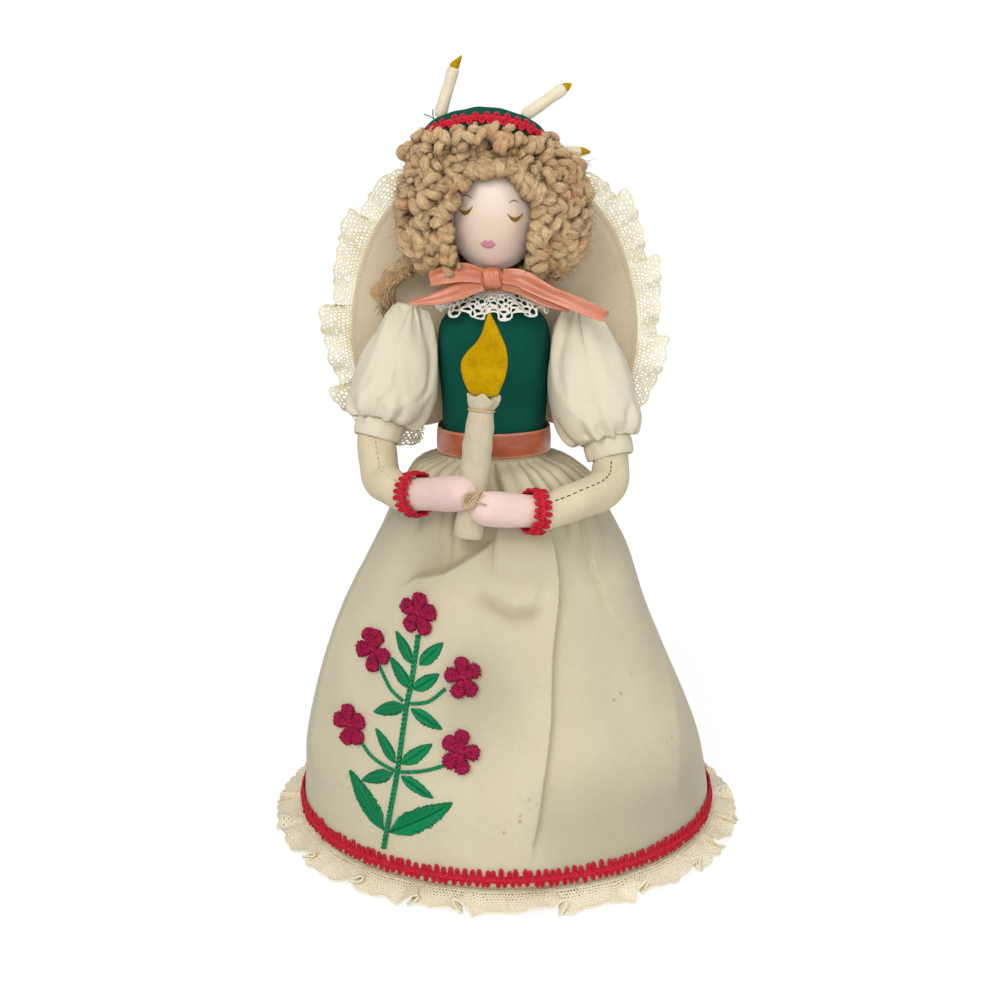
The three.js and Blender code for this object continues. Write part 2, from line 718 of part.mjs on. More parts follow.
const flameOutline = new THREE.Shape();
const [flameW, flameH] = [heldFlameWidth, heldFlameHeight];
flameOutline.moveTo(-flameW * 0.3, 0);
flameOutline.bezierCurveTo(-flameW * 0.75, flameH * 0.3, -flameW * 0.5, flameH * 0.5, -flameW * 0.05, flameH * 0.66);
flameOutline.quadraticCurveTo(flameW * 0.2, flameH * 0.8, flameW * 0.14, flameH);
flameOutline.bezierCurveTo(flameW * 0.62, flameH * 0.7, flameW * 0.62, flameH * 0.3, flameW * 0.3, 0);
flameOutline.lineTo(-flameW * 0.3, 0);
const flamePiece = new THREE.ExtrudeGeometry(flameOutline, {
  depth: heldFlameThickness,
  bevelEnabled: false,
  curveSegments: 6,
});
flamePiece.translate(0, 0, -heldFlameThickness / 2).rotateX(Math.PI / 2);
const flameFoot = heldLow.clone().addScaledVector(candleTurn, heldCandleLength + gap);
add('held_flame', placed(flamePiece, flameFoot, candleTurn), felt);

const sides = [
  { name: 'right', way: -1, cuff: 12, elbow: -3.2, wrist: [-29, -7.2], tip: [-8.3, -2.6] },
  { name: 'left', way: 1, cuff: 5, elbow: -7, wrist: [15, -11.4], tip: [-7.2, -7.8] },
];
const handTips = [];
const handSpaces = [];
for (const side of sides) {
  const { name, way } = side;
  const cuffTop = vec(way * 43 - lean, -13.5, formHeight + side.cuff + cuffLength / 2);
  const shoulder = vec(way * 32.7 - lean, -0.5, shoulderZ + 2);
  const upward = shoulder.clone().sub(cuffTop).normalize();
  const puffLength = shoulder.distanceTo(cuffTop) + 4;

  // Puffed sleeve, gathered at both ends
  const puffLine = [
    [armRadius + gap + 1.3, gap + clothThickness / 2],
    [puffRadius * 0.82, puffLength * 0.09],
    [puffRadius * 0.97, puffLength * 0.25],
    [puffRadius, puffLength * 0.45],
    [puffRadius * 0.9, puffLength * 0.68],
    [puffRadius * 0.64, puffLength * 0.9],
    [puffRadius * 0.3, puffLength],
  ];
  const puffGrid = turns(24).map((turn) =>
    puffLine.map(([r, z], level) => {
      const ends = level === 0 || level === puffLine.length - 1 ? 0 : 1;
      const fold = puffGather * ends * (0.5 - 0.5 * Math.cos(8 * turn));
      const out = r - clothThickness / 2 - fold;
      return vec(out * Math.cos(turn), out * Math.sin(turn), z);
    }),
  );
  add(`${name}_sleeve`, placed(sheet(puffGrid, clothThickness, true), cuffTop, upward), sleeveCotton);

  const cuffIn = armRadius + gap;
  const cuffOut = cuffIn + cuffThickness;
  const cuff = revolve(
    [
      [cuffIn, -cuffLength],
      [cuffOut - 0.5, -cuffLength],
      [cuffOut, -cuffLength + 0.6],
      [cuffOut, -0.6],
      [cuffOut - 0.5, 0],
      [cuffIn, 0],
    ],
    20,
  );
  add(`${name}_cuff`, placed(cuff, cuffTop, upward), sleeveCotton);

  // Forearm: from the sleeve through the cuff, bent forwards to the wrist over the skirt
  const elbowZ = formHeight + side.elbow;
  const elbow = vec(way * 42.5 - lean, 0, elbowZ);
  elbow.y = Math.min(reach(way * 42.5, elbowZ, armRadius), -26.2);
  const wristZ = formHeight + side.wrist[1];
  const wristY = Math.min(reach(side.wrist[0], wristZ, armRadius) - 0.6, heldLow.y + 11.5);
  const wrist = vec(side.wrist[0] - lean, wristY, wristZ);
  const midX = (way * 42.5 + side.wrist[0]) / 2 + way * 3;
  const midZ = (elbowZ + wristZ) / 2 - 0.4;
  const midY = Math.min(reach(midX, midZ, armRadius) - 0.6, (elbow.y + wrist.y) / 2);
  const middle = vec(midX - lean, midY, midZ);
  const tipZ = formHeight + side.tip[1];
  const held = heldAt(tipZ);
  const tip = vec(side.tip[0] - lean, held.y - heldCandleRadius - 2.6, tipZ);
  const handWay = tip.clone().sub(wrist).normalize();
  const beforeWrist = wrist.clone().addScaledVector(handWay, -wristBraidLength * 0.7);
  const armCurve = new THREE.CatmullRomCurve3([
    cuffTop.clone().addScaledVector(upward, puffLength * 0.62),
    cuffTop.clone().addScaledVector(upward, puffLength * 0.3),
    cuffTop,
    cuffTop.clone().addScaledVector(upward, -cuffLength),
    elbow,
    middle,
    beforeWrist,
    wrist,
  ]);
  const bend = upward.clone().cross(handWay).normalize();
  const inCuff = armRadius - 0.7;
  const armStations = [
    [0, inCuff * 0.45], [0.02, inCuff * 0.8], [0.06, inCuff], [0.24, inCuff], [0.36, inCuff],
    [0.44, armRadius], [0.52, armRadius + 0.2], [0.6, armRadius + 0.3], [0.7, armRadius + 0.1],
    [0.8, armRadius - 0.1], [0.88, armRadius - 0.4], [0.94, armRadius - 0.8], [1, armRadius - 0.8],
  ];
  const cuffSpace = revolve(
    [
      [cuffIn - gap, -cuffLength - gap],
      [cuffOut * 2, -cuffLength - gap],
      [cuffOut * 2, gap],
      [cuffIn - gap, gap],
    ],
    20,
  );
  placed(cuffSpace, cuffTop, upward);
  add(`${name}_forearm`, cut(limb(armCurve, armStations, bend, 14), cuffSpace), skinCotton);

  const wristIn = armRadius - 0.8 + gap + 0.2;
  const wristRing = revolve(
    [
      [wristIn, -wristBraidLength / 2],
      [wristIn + braidThickness, -wristBraidLength / 2],
      [wristIn + braidThickness, wristBraidLength / 2],
      [wristIn, wristBraidLength / 2],
    ],
    18,
  );
  add(`${name}_wrist_braid`, placed(wristRing, wrist, handWay), redBraid);

  // Hand: a mitten, pressed against the candle
  const handStart = wrist.clone().addScaledVector(handWay, gap);
  const handCurve = new THREE.LineCurve3(handStart, tip);
  const handStations = (grow) => [
    [0, armRadius - 1 + grow], [0.2, armRadius - 1 + grow], [0.4, handRadius * 0.98 + grow],
    [0.62, handRadius + grow], [0.8, handRadius * 0.9 + grow], [0.92, handRadius * 0.65 + grow],
    [1, handRadius * 0.25 + grow],
  ];
  const hand = limb(handCurve, handStations(0), vec(0, 0, 1), 14);
  add(`${name}_hand`, cut(hand, heldSpace), skinCotton);
  handTips.push(tip);
  handSpaces.push(limb(handCurve, handStations(gap), vec(0, 0, 1), 14));
}
const tieAt = handTips[0].clone().add(handTips[1]).multiplyScalar(0.5);
const tie = new THREE.SphereGeometry(1, 12, 8);
tie.scale(2.2, 2, 2.6).translate(tieAt.x, tieAt.y - 1.2, tieAt.z + 0.6);
add('candle_tie', cut(closed(tie), ...handSpaces, heldSpace), candleCotton);

// Wings: padded leaves bent back over the shoulders, each with a lace ruffle on its free edge
const wingBack = bodyRing(4)(bodiceLine[5])[1].y + clothThickness / 2;
const wingBend = (z) => 0.0013 * Math.max(z - wingBottom - 8, 0) ** 2;
function wingPoint(way, x, z, out) {
  return vec(way * x - lean, wingBack + wingBend(z) + 0.04 * x + out, z);
}
for (const [name, way] of [['right', -1], ['left', 1]]) {
  const span = wingReach - wingRoot;
  const height = wingTop - wingBottom;
  const spot = (x, z) => vec(wingRoot + x * span, 0, wingBottom + z * height);
  const outline = new THREE.CatmullRomCurve3(
    [
      spot(0, 0.2), spot(0, 0.45), spot(0.02, 0.7), spot(0.2, 0.93), spot(0.52, 1), spot(0.8, 0.86),
      spot(0.97, 0.58), spot(0.99, 0.3), spot(0.85, 0.08), spot(0.52, 0), spot(0.2, 0.06),
    ],
    true,
    'centripetal',
  );
  const edge = outline.getSpacedPoints(34).slice(0, -1);
  const middle = spot(0.5, 0.48);
  const layers = [0.12, 0.3, 0.48, 0.62, 0.75].map((share) => share * Math.PI);
  const rounds = [...layers.slice(0, 3), Math.PI / 2, ...layers.slice(0, 3).map((a) => Math.PI - a).reverse()];
  const rings = rounds.map((round) => {
    const share = Math.sin(round);
    const out = (-Math.cos(round) * wingThickness) / 2;
    return edge.map((p) => {
      const x = THREE.MathUtils.lerp(middle.x, p.x, share);
      const z = THREE.MathUtils.lerp(middle.z, p.z, share);
      return wingPoint(way, x, z, out);
    });
  });
  add(`${name}_wing`, loft(rings, false), wingCotton);

  // Ruffle along the outline from the top lobe round to the lower edge
  const steps = 48;
  const shares = Array.from({ length: 200 }, (_, k) => k / 200);
  const free = shares.filter((share) => outline.getPointAt(share).x > wingRoot + 0.46 * span);
  const laceGrid = Array.from({ length: steps + 1 }, (_, k) => {
    const share = THREE.MathUtils.lerp(free[0], free[free.length - 1], k / steps);
    const width = wingLaceWidth * (1 - 0.5 * rise(k / steps, 0.7, 1));
    const p = outline.getPointAt(share);
    const along = outline.getTangentAt(share);
    const outward = vec(-along.z, 0, along.x);
    if (outward.dot(p.clone().sub(middle)) < 0) outward.negate();
    return [0, 0.5, 1].map((far) => {
      const reachOut = gap + laceThickness * 0.3 + width * far;
      const q = p.clone().addScaledVector(outward, reachOut);
      const wave = wingLaceWave * far * Math.cos((k / 4) * 2 * Math.PI);
      return wingPoint(way, q.x, q.z, wave);
    });
  });
  add(`${name}_wing_lace`, sheet(laceGrid, laceThickness, false), lace);
}

export default model;
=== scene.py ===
import bpy
import numpy as np
from numpy import arange, array, asarray, clip, concatenate, cos, interp, linspace
from numpy import maximum, minimum, pi, sin, stack, vstack, where
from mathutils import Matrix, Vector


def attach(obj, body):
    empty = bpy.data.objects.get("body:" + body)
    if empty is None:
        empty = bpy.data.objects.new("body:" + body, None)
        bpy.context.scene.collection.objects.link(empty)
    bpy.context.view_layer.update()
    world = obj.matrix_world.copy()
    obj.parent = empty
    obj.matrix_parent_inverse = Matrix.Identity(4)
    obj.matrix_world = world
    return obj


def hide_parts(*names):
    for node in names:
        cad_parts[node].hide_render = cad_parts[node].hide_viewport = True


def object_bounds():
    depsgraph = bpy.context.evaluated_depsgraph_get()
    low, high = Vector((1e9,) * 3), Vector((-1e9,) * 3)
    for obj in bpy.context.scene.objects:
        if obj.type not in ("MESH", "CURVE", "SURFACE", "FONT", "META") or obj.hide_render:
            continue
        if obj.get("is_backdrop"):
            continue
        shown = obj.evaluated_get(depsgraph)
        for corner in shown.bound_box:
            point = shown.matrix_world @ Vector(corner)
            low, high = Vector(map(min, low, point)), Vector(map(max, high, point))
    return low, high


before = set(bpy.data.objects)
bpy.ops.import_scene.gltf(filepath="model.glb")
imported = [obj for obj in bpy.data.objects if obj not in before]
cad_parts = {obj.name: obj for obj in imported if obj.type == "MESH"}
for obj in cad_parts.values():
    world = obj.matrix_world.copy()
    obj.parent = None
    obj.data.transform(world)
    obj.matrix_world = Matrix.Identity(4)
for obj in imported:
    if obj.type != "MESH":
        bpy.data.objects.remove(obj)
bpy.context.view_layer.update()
dice = np.random.default_rng(11)
scene = bpy.context.scene
print("frame loaded:", len(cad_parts), "nodes")

# Millimetres below; piece() turns them into metres. Front is -Y, turns are measured from the front.
bodyX = -5  # the body's axis, to the doll's right of the hem's middle
thin = dict(lace=0.4, ribbon=0.45)


def ease(x, low, high):  # smooth step: 0 up to low, 1 from high
    share = clip((asarray(x, float) - low) / (high - low), 0, 1)
    return share * share * (3 - 2 * share)


def hump(x, middle, width):  # Gaussian of height 1
    return np.exp(-(((asarray(x, float) - middle) / width) ** 2))


def norm(v):  # length of each vector
    return np.linalg.norm(v, axis=-1)


def unit(v):  # each vector divided by its length
    return v / maximum(norm(v)[..., None], 1e-9)


def boxed(v, power):  # a sine or cosine to a power, with its sign, which squares off a circle
    return np.sign(v) * np.abs(v) ** power


def lengths(line):  # how far along the line each of its points is
    return np.r_[0, np.cumsum(norm(np.diff(line, axis=0)))]


def sampled(at, known, line):  # points of a line at other places, by straight interpolation
    return stack([interp(at, known, line[:, k]) for k in range(line.shape[1])], -1)


def spline(points, count, ring=False):  # Catmull-Rom cubic through the points, then equal steps along it
    p = asarray(points, float)
    p = vstack([p[-1:], p, p[:2]]) if ring else vstack([2 * p[0] - p[1], p, 2 * p[-1] - p[-2]])
    t = linspace(0, len(p) - 3, 40 * len(p))
    i = minimum(t.astype(int), len(p) - 4)
    w = (t - i)[:, None]
    a, b, c, d = p[i], p[i + 1], p[i + 2], p[i + 3]
    line = 0.5 * (2 * b + (c - a) * w + (2 * a - 5 * b + 4 * c - d) * w**2 + (3 * b - a - 3 * c + d) * w**3)
    along = lengths(line)
    return sampled(linspace(0, along[-1], count), along, line)


def around(count):  # equal turns of a full circle
    return linspace(0, 2 * pi, count, endpoint=False)


def turned(x, r, a, z, flat=1.0, y=0.0):  # r sin a to the side of x, r cos a in front of y, at height z
    return stack(np.broadcast_arrays(x + r * sin(a), y - r * cos(a) * flat, z), -1)


def ringed(middle, right, back, r, a):  # middle + right r cos a + back r sin a
    return middle + right * (r * cos(a))[..., None] + back * (r * sin(a))[..., None]


def corners(a):  # the four corners of each grid square
    return stack([a[:-1, :-1], a[:-1, 1:], a[1:, 1:], a[1:, :-1]], 2).reshape(-1, 4, *a.shape[2:])


def gridShape(grid, ring=True, caps=""):
    # squares between the rows and columns of a grid of points; ring joins the last column to the first,
    # caps closes the low or high row with a fan about its middle; UV is real length
    rows, cols = grid.shape[:2]
    index = arange(rows * cols).reshape(rows, cols)
    wide = np.hstack([index, index[:, :1]]) if ring else index
    full = concatenate([grid, grid[:, :1]], 1) if ring else grid
    girth = norm(np.diff(full, axis=1)).sum(1).max()
    along = np.r_[0, np.cumsum(norm(np.diff(grid, axis=0)).mean(1))]
    uv = stack(np.broadcast_arrays(linspace(0, girth, wide.shape[1])[None], along[:, None]), -1)
    points, faces, uvs = [grid.reshape(-1, 3)], [corners(wide)], [corners(uv)]
    for end, row, step in (("low", 0, 1), ("high", -1, -1)):
        if end in caps:
            middle = np.full(wide.shape[1] - 1, rows * cols + len(points) - 1)
            points.append(grid[row].mean(0, keepdims=True))
            faces.append(stack([wide[row, 1:], wide[row, :-1], middle], 1)[:, ::step])
            uvs.append(stack([uv[row, 1:], uv[row, :-1], (uv[row, 1:] + uv[row, :-1]) / 2], 1)[:, ::step])
    return vstack(points), faces, uvs


def frames(paths):
    # tangent by differences, and a side vector carried along each path without twist
    tangent = unit(np.gradient(paths, axis=1))
    side = np.empty_like(paths)
    start = where(np.abs(tangent[:, 0, 2:]) > 0.9, [[1.0, 0, 0]], [[0, 0, 1.0]])
    side[:, 0] = unit(np.cross(tangent[:, 0], start))
    for k in range(1, paths.shape[1]):
        back = side[:, k - 1]
        side[:, k] = unit(back - (back * tangent[:, k]).sum(-1, keepdims=True) * tangent[:, k])
    return side, np.cross(tangent, side)


def coiled(paths, radius, spin):  # each path moved off by a radius at the angle spin in its own cross-section
    side, up = frames(paths)
    return paths + (side * cos(spin)[..., None] + up * sin(spin)[..., None]) * radius[..., None]


def tubeShape(paths, radius, sides):
    # circles of the given radius set square to each path; many tubes of the same count at once
    paths = asarray(paths, float)
    n, p = paths.shape[:2]
    side, up = frames(paths)
    turn = around(sides)[:, None]
    out = side[:, :, None] * cos(turn) + up[:, :, None] * sin(turn)
    thick = np.broadcast_to(radius, (n, p))
    points = (paths[:, :, None] + out * thick[..., None, None]).reshape(-1, 3)
    index = arange(p * sides).reshape(p, sides)
    one = corners(np.hstack([index, index[:, :1]]))
    offset = arange(n)[:, None, None] * p * sides
    along = np.cumsum(norm(np.diff(paths, axis=1, prepend=paths[:, :1])), 1)
    girth = linspace(0, 2 * pi * thick.max(), sides + 1)
    uv = stack(np.broadcast_arrays(girth[None, None], along[..., None]), -1)
    uvs = concatenate([corners(one) for one in uv])
    ends = vstack([index[0][::-1] + offset[:, 0], index[-1] + offset[:, 0]])
    return points, [(one[None] + offset).reshape(-1, 4), ends], [uvs, np.zeros((2 * n, sides, 2))]


def joined(*shapes):  # several shapes as one
    points, faces, uvs, start = [], [], [], 0
    for shape in shapes:
        points.append(shape[0])
        faces += [f + start for f in shape[1]]
        uvs += shape[2]
        start += len(shape[0])
    return vstack(points), faces, uvs


def placed(name, data):  # a new object in the scene
    made = bpy.data.objects.new(name, data)
    scene.collection.objects.link(made)
    return made


def piece(name, shape, finish, slot=None, replaces=None, body="doll", fill=None, caps="", **marks):
    # a mesh in metres that rides on its body; a bare grid closes into a ring, fill is not used,
    # marks are values at the points for the finish to read
    points, faces, uvs = gridShape(shape, caps=caps) if isinstance(shape, np.ndarray) else shape
    mesh = bpy.data.meshes.new(name)
    mesh.from_pydata((points * 0.001).tolist(), [], [f for part in faces for f in part.tolist()])
    flat = concatenate([u.reshape(-1, 2) for u in uvs]).astype(np.float32).ravel() * 0.001
    mesh.uv_layers.new(name="UVMap").uv.foreach_set("vector", flat)
    for key, values in marks.items():
        layer = mesh.attributes.new(key, "FLOAT", "POINT")
        layer.data.foreach_set("value", asarray(values, np.float32).ravel())
    mesh.polygons.foreach_set("use_smooth", np.ones(len(mesh.polygons), bool))
    mesh.materials.append(finish)
    made = placed(name, mesh)
    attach(made, body)
    if replaces:
        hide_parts(replaces)
    return made


def thicken(made, thickness):  # gives a single surface its cloth thickness, half to each side
    wall = made.modifiers.new("thickness", "SOLIDIFY")
    wall.thickness = thickness * 0.001
    wall.offset = 0
    return made


# Finishes


def srgb(r, g, b):  # screen colour to linear
    c = array([r, g, b]) / 255
    return (*where(c <= 0.04045, c / 12.92, ((c + 0.055) / 1.055) ** 2.4), 1.0)


def node(mat, kind, *wires, **settings):  # a node with its settings, each socket given a value or a link
    made = mat.node_tree.nodes.new("ShaderNode" + kind)
    for key, value in settings.items():
        setattr(made, key, value)
    for socket, value in wires:
        if isinstance(value, bpy.types.NodeSocket):
            mat.node_tree.links.new(value, made.inputs[socket])
        else:
            made.inputs[socket].default_value = value
    return made


def finishOf(name, rough, sheen=0.0, specular=0.3):  # a new material and its shader
    mat = bpy.data.materials.new(name)
    mat.use_nodes = True
    shader = mat.node_tree.nodes["Principled BSDF"]
    for key, value in (("Roughness", rough), ("Specular IOR Level", specular), ("Sheen Weight", sheen),
                       ("Sheen Roughness", 0.6)):
        shader.inputs[key].default_value = value
    return mat, shader


def painted(mat, shader, colour, height, strength, depth):  # joins a colour and a relief to the shader
    mat.node_tree.links.new(colour, shader.inputs["Base Color"])
    made = node(mat, "Bump", ("Height", height), ("Strength", strength), ("Distance", depth))
    mat.node_tree.links.new(made.outputs[0], shader.inputs["Normal"])
    return mat


def mixed(mat, share, *pair):  # the first colour where share is 0, the second where it is 1
    a, b = (v if isinstance(v, bpy.types.NodeSocket) else srgb(*v) for v in pair)
    return node(mat, "Mix", (0, share), (6, a), (7, b), data_type="RGBA").outputs[2]


def ranged(mat, value, low, high, out=(0.0, 1.0)):  # low to high becomes out
    wires = ("Value", value), ("From Min", low), ("From Max", high), ("To Min", out[0]), ("To Max", out[1])
    return node(mat, "MapRange", *wires).outputs[0]


def summed(mat, a, b, how="ADD"):  # two values added, or joined by another rule
    return node(mat, "Math", (0, a), (1, b), operation=how).outputs[0]


def noise(mat, vector, scale, detail=3.0, rough=0.55):  # cloudy noise, 0 to 1
    wires = ("Vector", vector), ("Scale", scale), ("Detail", detail), ("Roughness", rough)
    return node(mat, "TexNoise", *wires).outputs[0]


def stretched(mat, vector, x, y, detail=2.0):  # noise drawn out into streaks x by y metres
    scaled = node(mat, "Mapping", ("Vector", vector), ("Scale", (1 / x, 1 / y, 1 / min(x, y))))
    return noise(mat, scaled.outputs[0], 1.0, detail)


def slanted(mat, turn):  # UV turned by an angle
    return node(mat, "Mapping", ("Vector", coords(mat)), ("Rotation", (0, 0, turn))).outputs[0]


def coords(mat, which="UV"):  # where a spot is, on the surface or in the object
    return node(mat, "TexCoord").outputs[which]


def mark(mat, name):  # a value that the piece holds at its points
    return node(mat, "Attribute", attribute_name=name).outputs["Fac"]


def distance(mat, place, spot):  # metres from a spot in millimetres
    wires = (0, place), (1, [v * 0.001 for v in spot])
    return node(mat, "VectorMath", *wires, operation="DISTANCE").outputs["Value"]


def clothFinish(name, light, dark, thread=0.0004, slub=0.005, sheen=0.12, rough=0.88, relief=0.35,
                tintAndPaintedLight=None, crumple=0.0):
    # woven cotton: streaks along both threads, uneven shade, blotches of age, and soft crumples in the relief
    mat, shader = finishOf(name, rough, sheen, 0.12)
    uv, place = coords(mat), coords(mat, "Object")
    weave = summed(mat, stretched(mat, uv, thread, slub), stretched(mat, uv, slub, thread), "MULTIPLY")
    blotch = ranged(mat, noise(mat, place, 32, 4), 0.35, 0.7, (0.0, 0.4))
    colour = mixed(mat, summed(mat, ranged(mat, weave, 0.1, 0.42, (0.05, 0.5)), blotch), dark, light)
    # the hook adds stains with painted shade to the skirt, and rouge with painted light to the face
    if tintAndPaintedLight:
        colour = tintAndPaintedLight(mat, colour, place)
    if crumple:
        creased = summed(mat, noise(mat, place, 42, 2, 0.4), crumple, "MULTIPLY")
        weave = summed(mat, summed(mat, weave, 0.12, "MULTIPLY"), creased)
    return painted(mat, shader, colour, weave, relief, 0.0025 if crumple else 0.0003)


def stainsAndPaintedShade(mat, colour, place):
    # brown specks at the stain mark, yellow in patches, and painted shade that darkens the folds and the
    # broad shaded places
    cells = node(mat, "TexVoronoi", ("Vector", place), ("Scale", 330.0)).outputs["Distance"]
    speck = summed(mat, ranged(mat, cells, 0.36, 0.12), mark(mat, "stain"), "MULTIPLY")
    cast = ranged(mat, noise(mat, place, 14, 3), 0.45, 0.75, (0.0, 0.35))
    # painted shade: darker in the folds, then greyer in the broad shaded places
    foldPaintedShade = mixed(mat, mark(mat, "fold"), mixed(mat, cast, colour, (206, 195, 162)), (150, 132, 92))
    grey = mixed(mat, mark(mat, "dim"), foldPaintedShade, (150, 144, 124))
    return mixed(mat, speck, grey, (158, 124, 70))


def rougeAndPaintedLight(mat, colour, place):  # rouge fading out from the cheeks and chin; painted light makes the forehead and sides paler
    spots = None
    for at, strength in (((-20, -14, 232), 0.35), ((9, -15, 232), 0.35), ((-6, -12, 223), 0.4)):
        glow = ranged(mat, distance(mat, place, at), 0.012, 0.003, (0.0, strength))
        spots = glow if spots is None else summed(mat, spots, glow, "MAXIMUM")
    # painted light: a paler forehead, and paler sides where the face turns back under the hair
    forehead = ranged(mat, distance(mat, place, (-6, -15, 256)), 0.016, 0.004, (0.0, 0.7))
    depth = node(mat, "SeparateXYZ", ("Vector", place)).outputs["Y"]
    paintedLight = summed(mat, forehead, ranged(mat, depth, -0.017, -0.008, (0.0, 0.95)), "MAXIMUM")
    return mixed(mat, spots, mixed(mat, paintedLight, colour, (252, 238, 222)), (238, 190, 178))


def flossFinish(name, light, dark, rough=0.65):
    # thread: fine plies running along the tube, in lighter and darker streaks
    mat, shader = finishOf(name, rough, 0.0, 0.15)
    plies = stretched(mat, coords(mat), 0.0005, 0.004)
    return painted(mat, shader, mixed(mat, ranged(mat, plies, 0.3, 0.7), dark, light), plies, 0.5, 0.0003)


def satinFinish(name, light, dark):
    # satin ribbon: fine diagonal floats over a soft sheen, paler selvedge lines along both edges
    mat, shader = finishOf(name, 0.32, 0.04, 0.6)
    floats = stretched(mat, slanted(mat, 0.7), 0.0003, 0.0012)
    shade = ranged(mat, summed(mat, floats, noise(mat, coords(mat), 90, 1)), 0.6, 1.4)
    edge = ranged(mat, mark(mat, "selvedge"), 0.0, 1.0, (0.0, 0.6))
    colour = mixed(mat, edge, mixed(mat, shade, dark, light), (220, 154, 122))
    return painted(mat, shader, colour, floats, 0.12, 0.0003)


def laceFinish(name, light, deep):
    # cotton lace: yellowed and darkened with painted shade towards the gathers, with a fine thread grain
    mat, shader = finishOf(name, 0.9, 0.1)
    place = coords(mat, "Object")
    tintAndPaintedLight = summed(mat, mark(mat, "depth"), ranged(mat, noise(mat, place, 90, 3), 0.35, 0.65), "MULTIPLY")
    return painted(mat, shader, mixed(mat, tintAndPaintedLight, light, deep), noise(mat, place, 2600, 2), 0.6, 0.0004)


def yarnFinish(name, light, middle, dark):
    # wool: fibres slanting along the strand at two widths, with painted shade darkening the gaps between the
    # curls
    mat, shader = finishOf(name, 0.5, 0.0, 0.45)
    uv = slanted(mat, 0.5)
    fibres = summed(mat, stretched(mat, uv, 0.0007, 0.006, 3), stretched(mat, uv, 0.0003, 0.003, 2))
    tone = ranged(mat, noise(mat, coords(mat, "Object"), 110, 2), 0.35, 0.65, (0.0, 0.45))
    base = mixed(mat, summed(mat, ranged(mat, fibres, 0.6, 1.1, (0.0, 0.8)), tone), middle, light)
    return painted(mat, shader, mixed(mat, mark(mat, "deep"), base, dark), fibres, 1.0, 0.0018)


def feltFinish(name, light, dark):
    # pressed felt: matted fibres at two scales
    mat, shader = finishOf(name, 0.95, 0.0, 0.08)
    place = coords(mat, "Object")
    matted = summed(mat, noise(mat, place, 900, 4, 0.7), noise(mat, place, 160, 2))
    return painted(mat, shader, mixed(mat, ranged(mat, matted, 0.75, 1.25), dark, light), matted, 0.6, 0.0006)


faint = dict(relief=0.3)
muslin = clothFinish("muslin", (218, 209, 181), (198, 188, 157), 0.00035, tintAndPaintedLight=stainsAndPaintedShade, crumple=1.5, **faint)
sleeveMuslin = clothFinish("sleeve muslin", (227, 219, 195), (209, 200, 174), crumple=0.8, **faint)
armMuslin = clothFinish("arm muslin", (224, 212, 180), (203, 189, 153), crumple=0.8, **faint)
wingCotton = clothFinish("wing cotton", (212, 196, 168), (192, 174, 145))
candleCotton = clothFinish("candle cotton", (211, 199, 174), (188, 174, 145), crumple=0.6, **faint)
crownCotton = clothFinish("crown cotton", (238, 226, 199), (217, 203, 173), crumple=0.6, **faint)
handCotton = clothFinish("hand cotton", (243, 216, 206), (221, 187, 177), slub=0.004, crumple=0.6, **faint)
greenCotton = clothFinish("green cotton", (10, 88, 72), (4, 66, 54), 0.0005, 0.006, 0.0, 0.85)
buckram = clothFinish("buckram", (216, 206, 182), (190, 178, 150), 0.0009, 0.006, 0.05, 0.9, 0.7)
skinCotton = clothFinish("face cotton", (232, 212, 191), (216, 192, 171), slub=0.004, sheen=0.15, rough=0.8,
                         relief=0.25, tintAndPaintedLight=rougeAndPaintedLight)
satin = satinFinish("copper satin", (197, 104, 62), (145, 66, 35))
bowSatin = satinFinish("bow satin", (212, 132, 98), (176, 94, 62))
# each lace's second colour is its yellowed tone with painted shade
creamLace = laceFinish("cream lace", (245, 236, 208), (206, 178, 122))
wingLace = laceFinish("wing lace", (244, 238, 210), (206, 182, 116))
whiteLace = laceFinish("white lace", (244, 241, 230), (220, 212, 190))
redBraid = flossFinish("red braid", (214, 42, 60), (164, 16, 36))
crimsonFloss = flossFinish("crimson floss", (190, 38, 88), (118, 12, 46), 0.8)
greenFloss = flossFinish("green floss", (16, 156, 98), (2, 86, 50), 0.45)
brownFloss = flossFinish("brown floss", (166, 122, 48), (128, 88, 26))
lipFloss = flossFinish("lip floss", (222, 162, 172), (196, 122, 142))
tanThread = flossFinish("tan thread", (214, 190, 150), (176, 148, 108))
darkThread = flossFinish("dark thread", (92, 84, 60), (58, 50, 34))
# the curl yarn's dark colour is painted shade, laid on by the deep mark
curlYarn = yarnFinish("curl yarn", (255, 220, 168), (228, 154, 92), (98, 48, 15))
yellowFelt = feltFinish("yellow felt", (197, 156, 2), (171, 129, 0))
print("finishes made")


# Camera at the photograph's place, soft lamps (place, height aimed at, size, power) and a white floor that
# keeps the shadow
studio = dict(camera=(-2.7, -600, 284), pitch=0.25, lens=56.34, world=0.38, lamps=dict(
    left=((-0.42, -0.95, 0.88), 0.17, 0.7, 6.5), right=((0.95, -0.7, 0.55), 0.17, 0.45, 1.8),
    front=((0.1, -1.15, 0.4), 0.17, 0.6, 3.7), top=((0.1, 0.1, 1.2), 0.2, 0.7, 2.4)))


def seenWhite(mat):  # 1 for the rays that should find a white ground
    rays = node(mat, "LightPath")
    seen = summed(mat, rays.outputs["Is Camera Ray"], rays.outputs["Is Glossy Ray"], "MAXIMUM")
    return summed(mat, seen, rays.outputs["Is Transmission Ray"], "MAXIMUM")


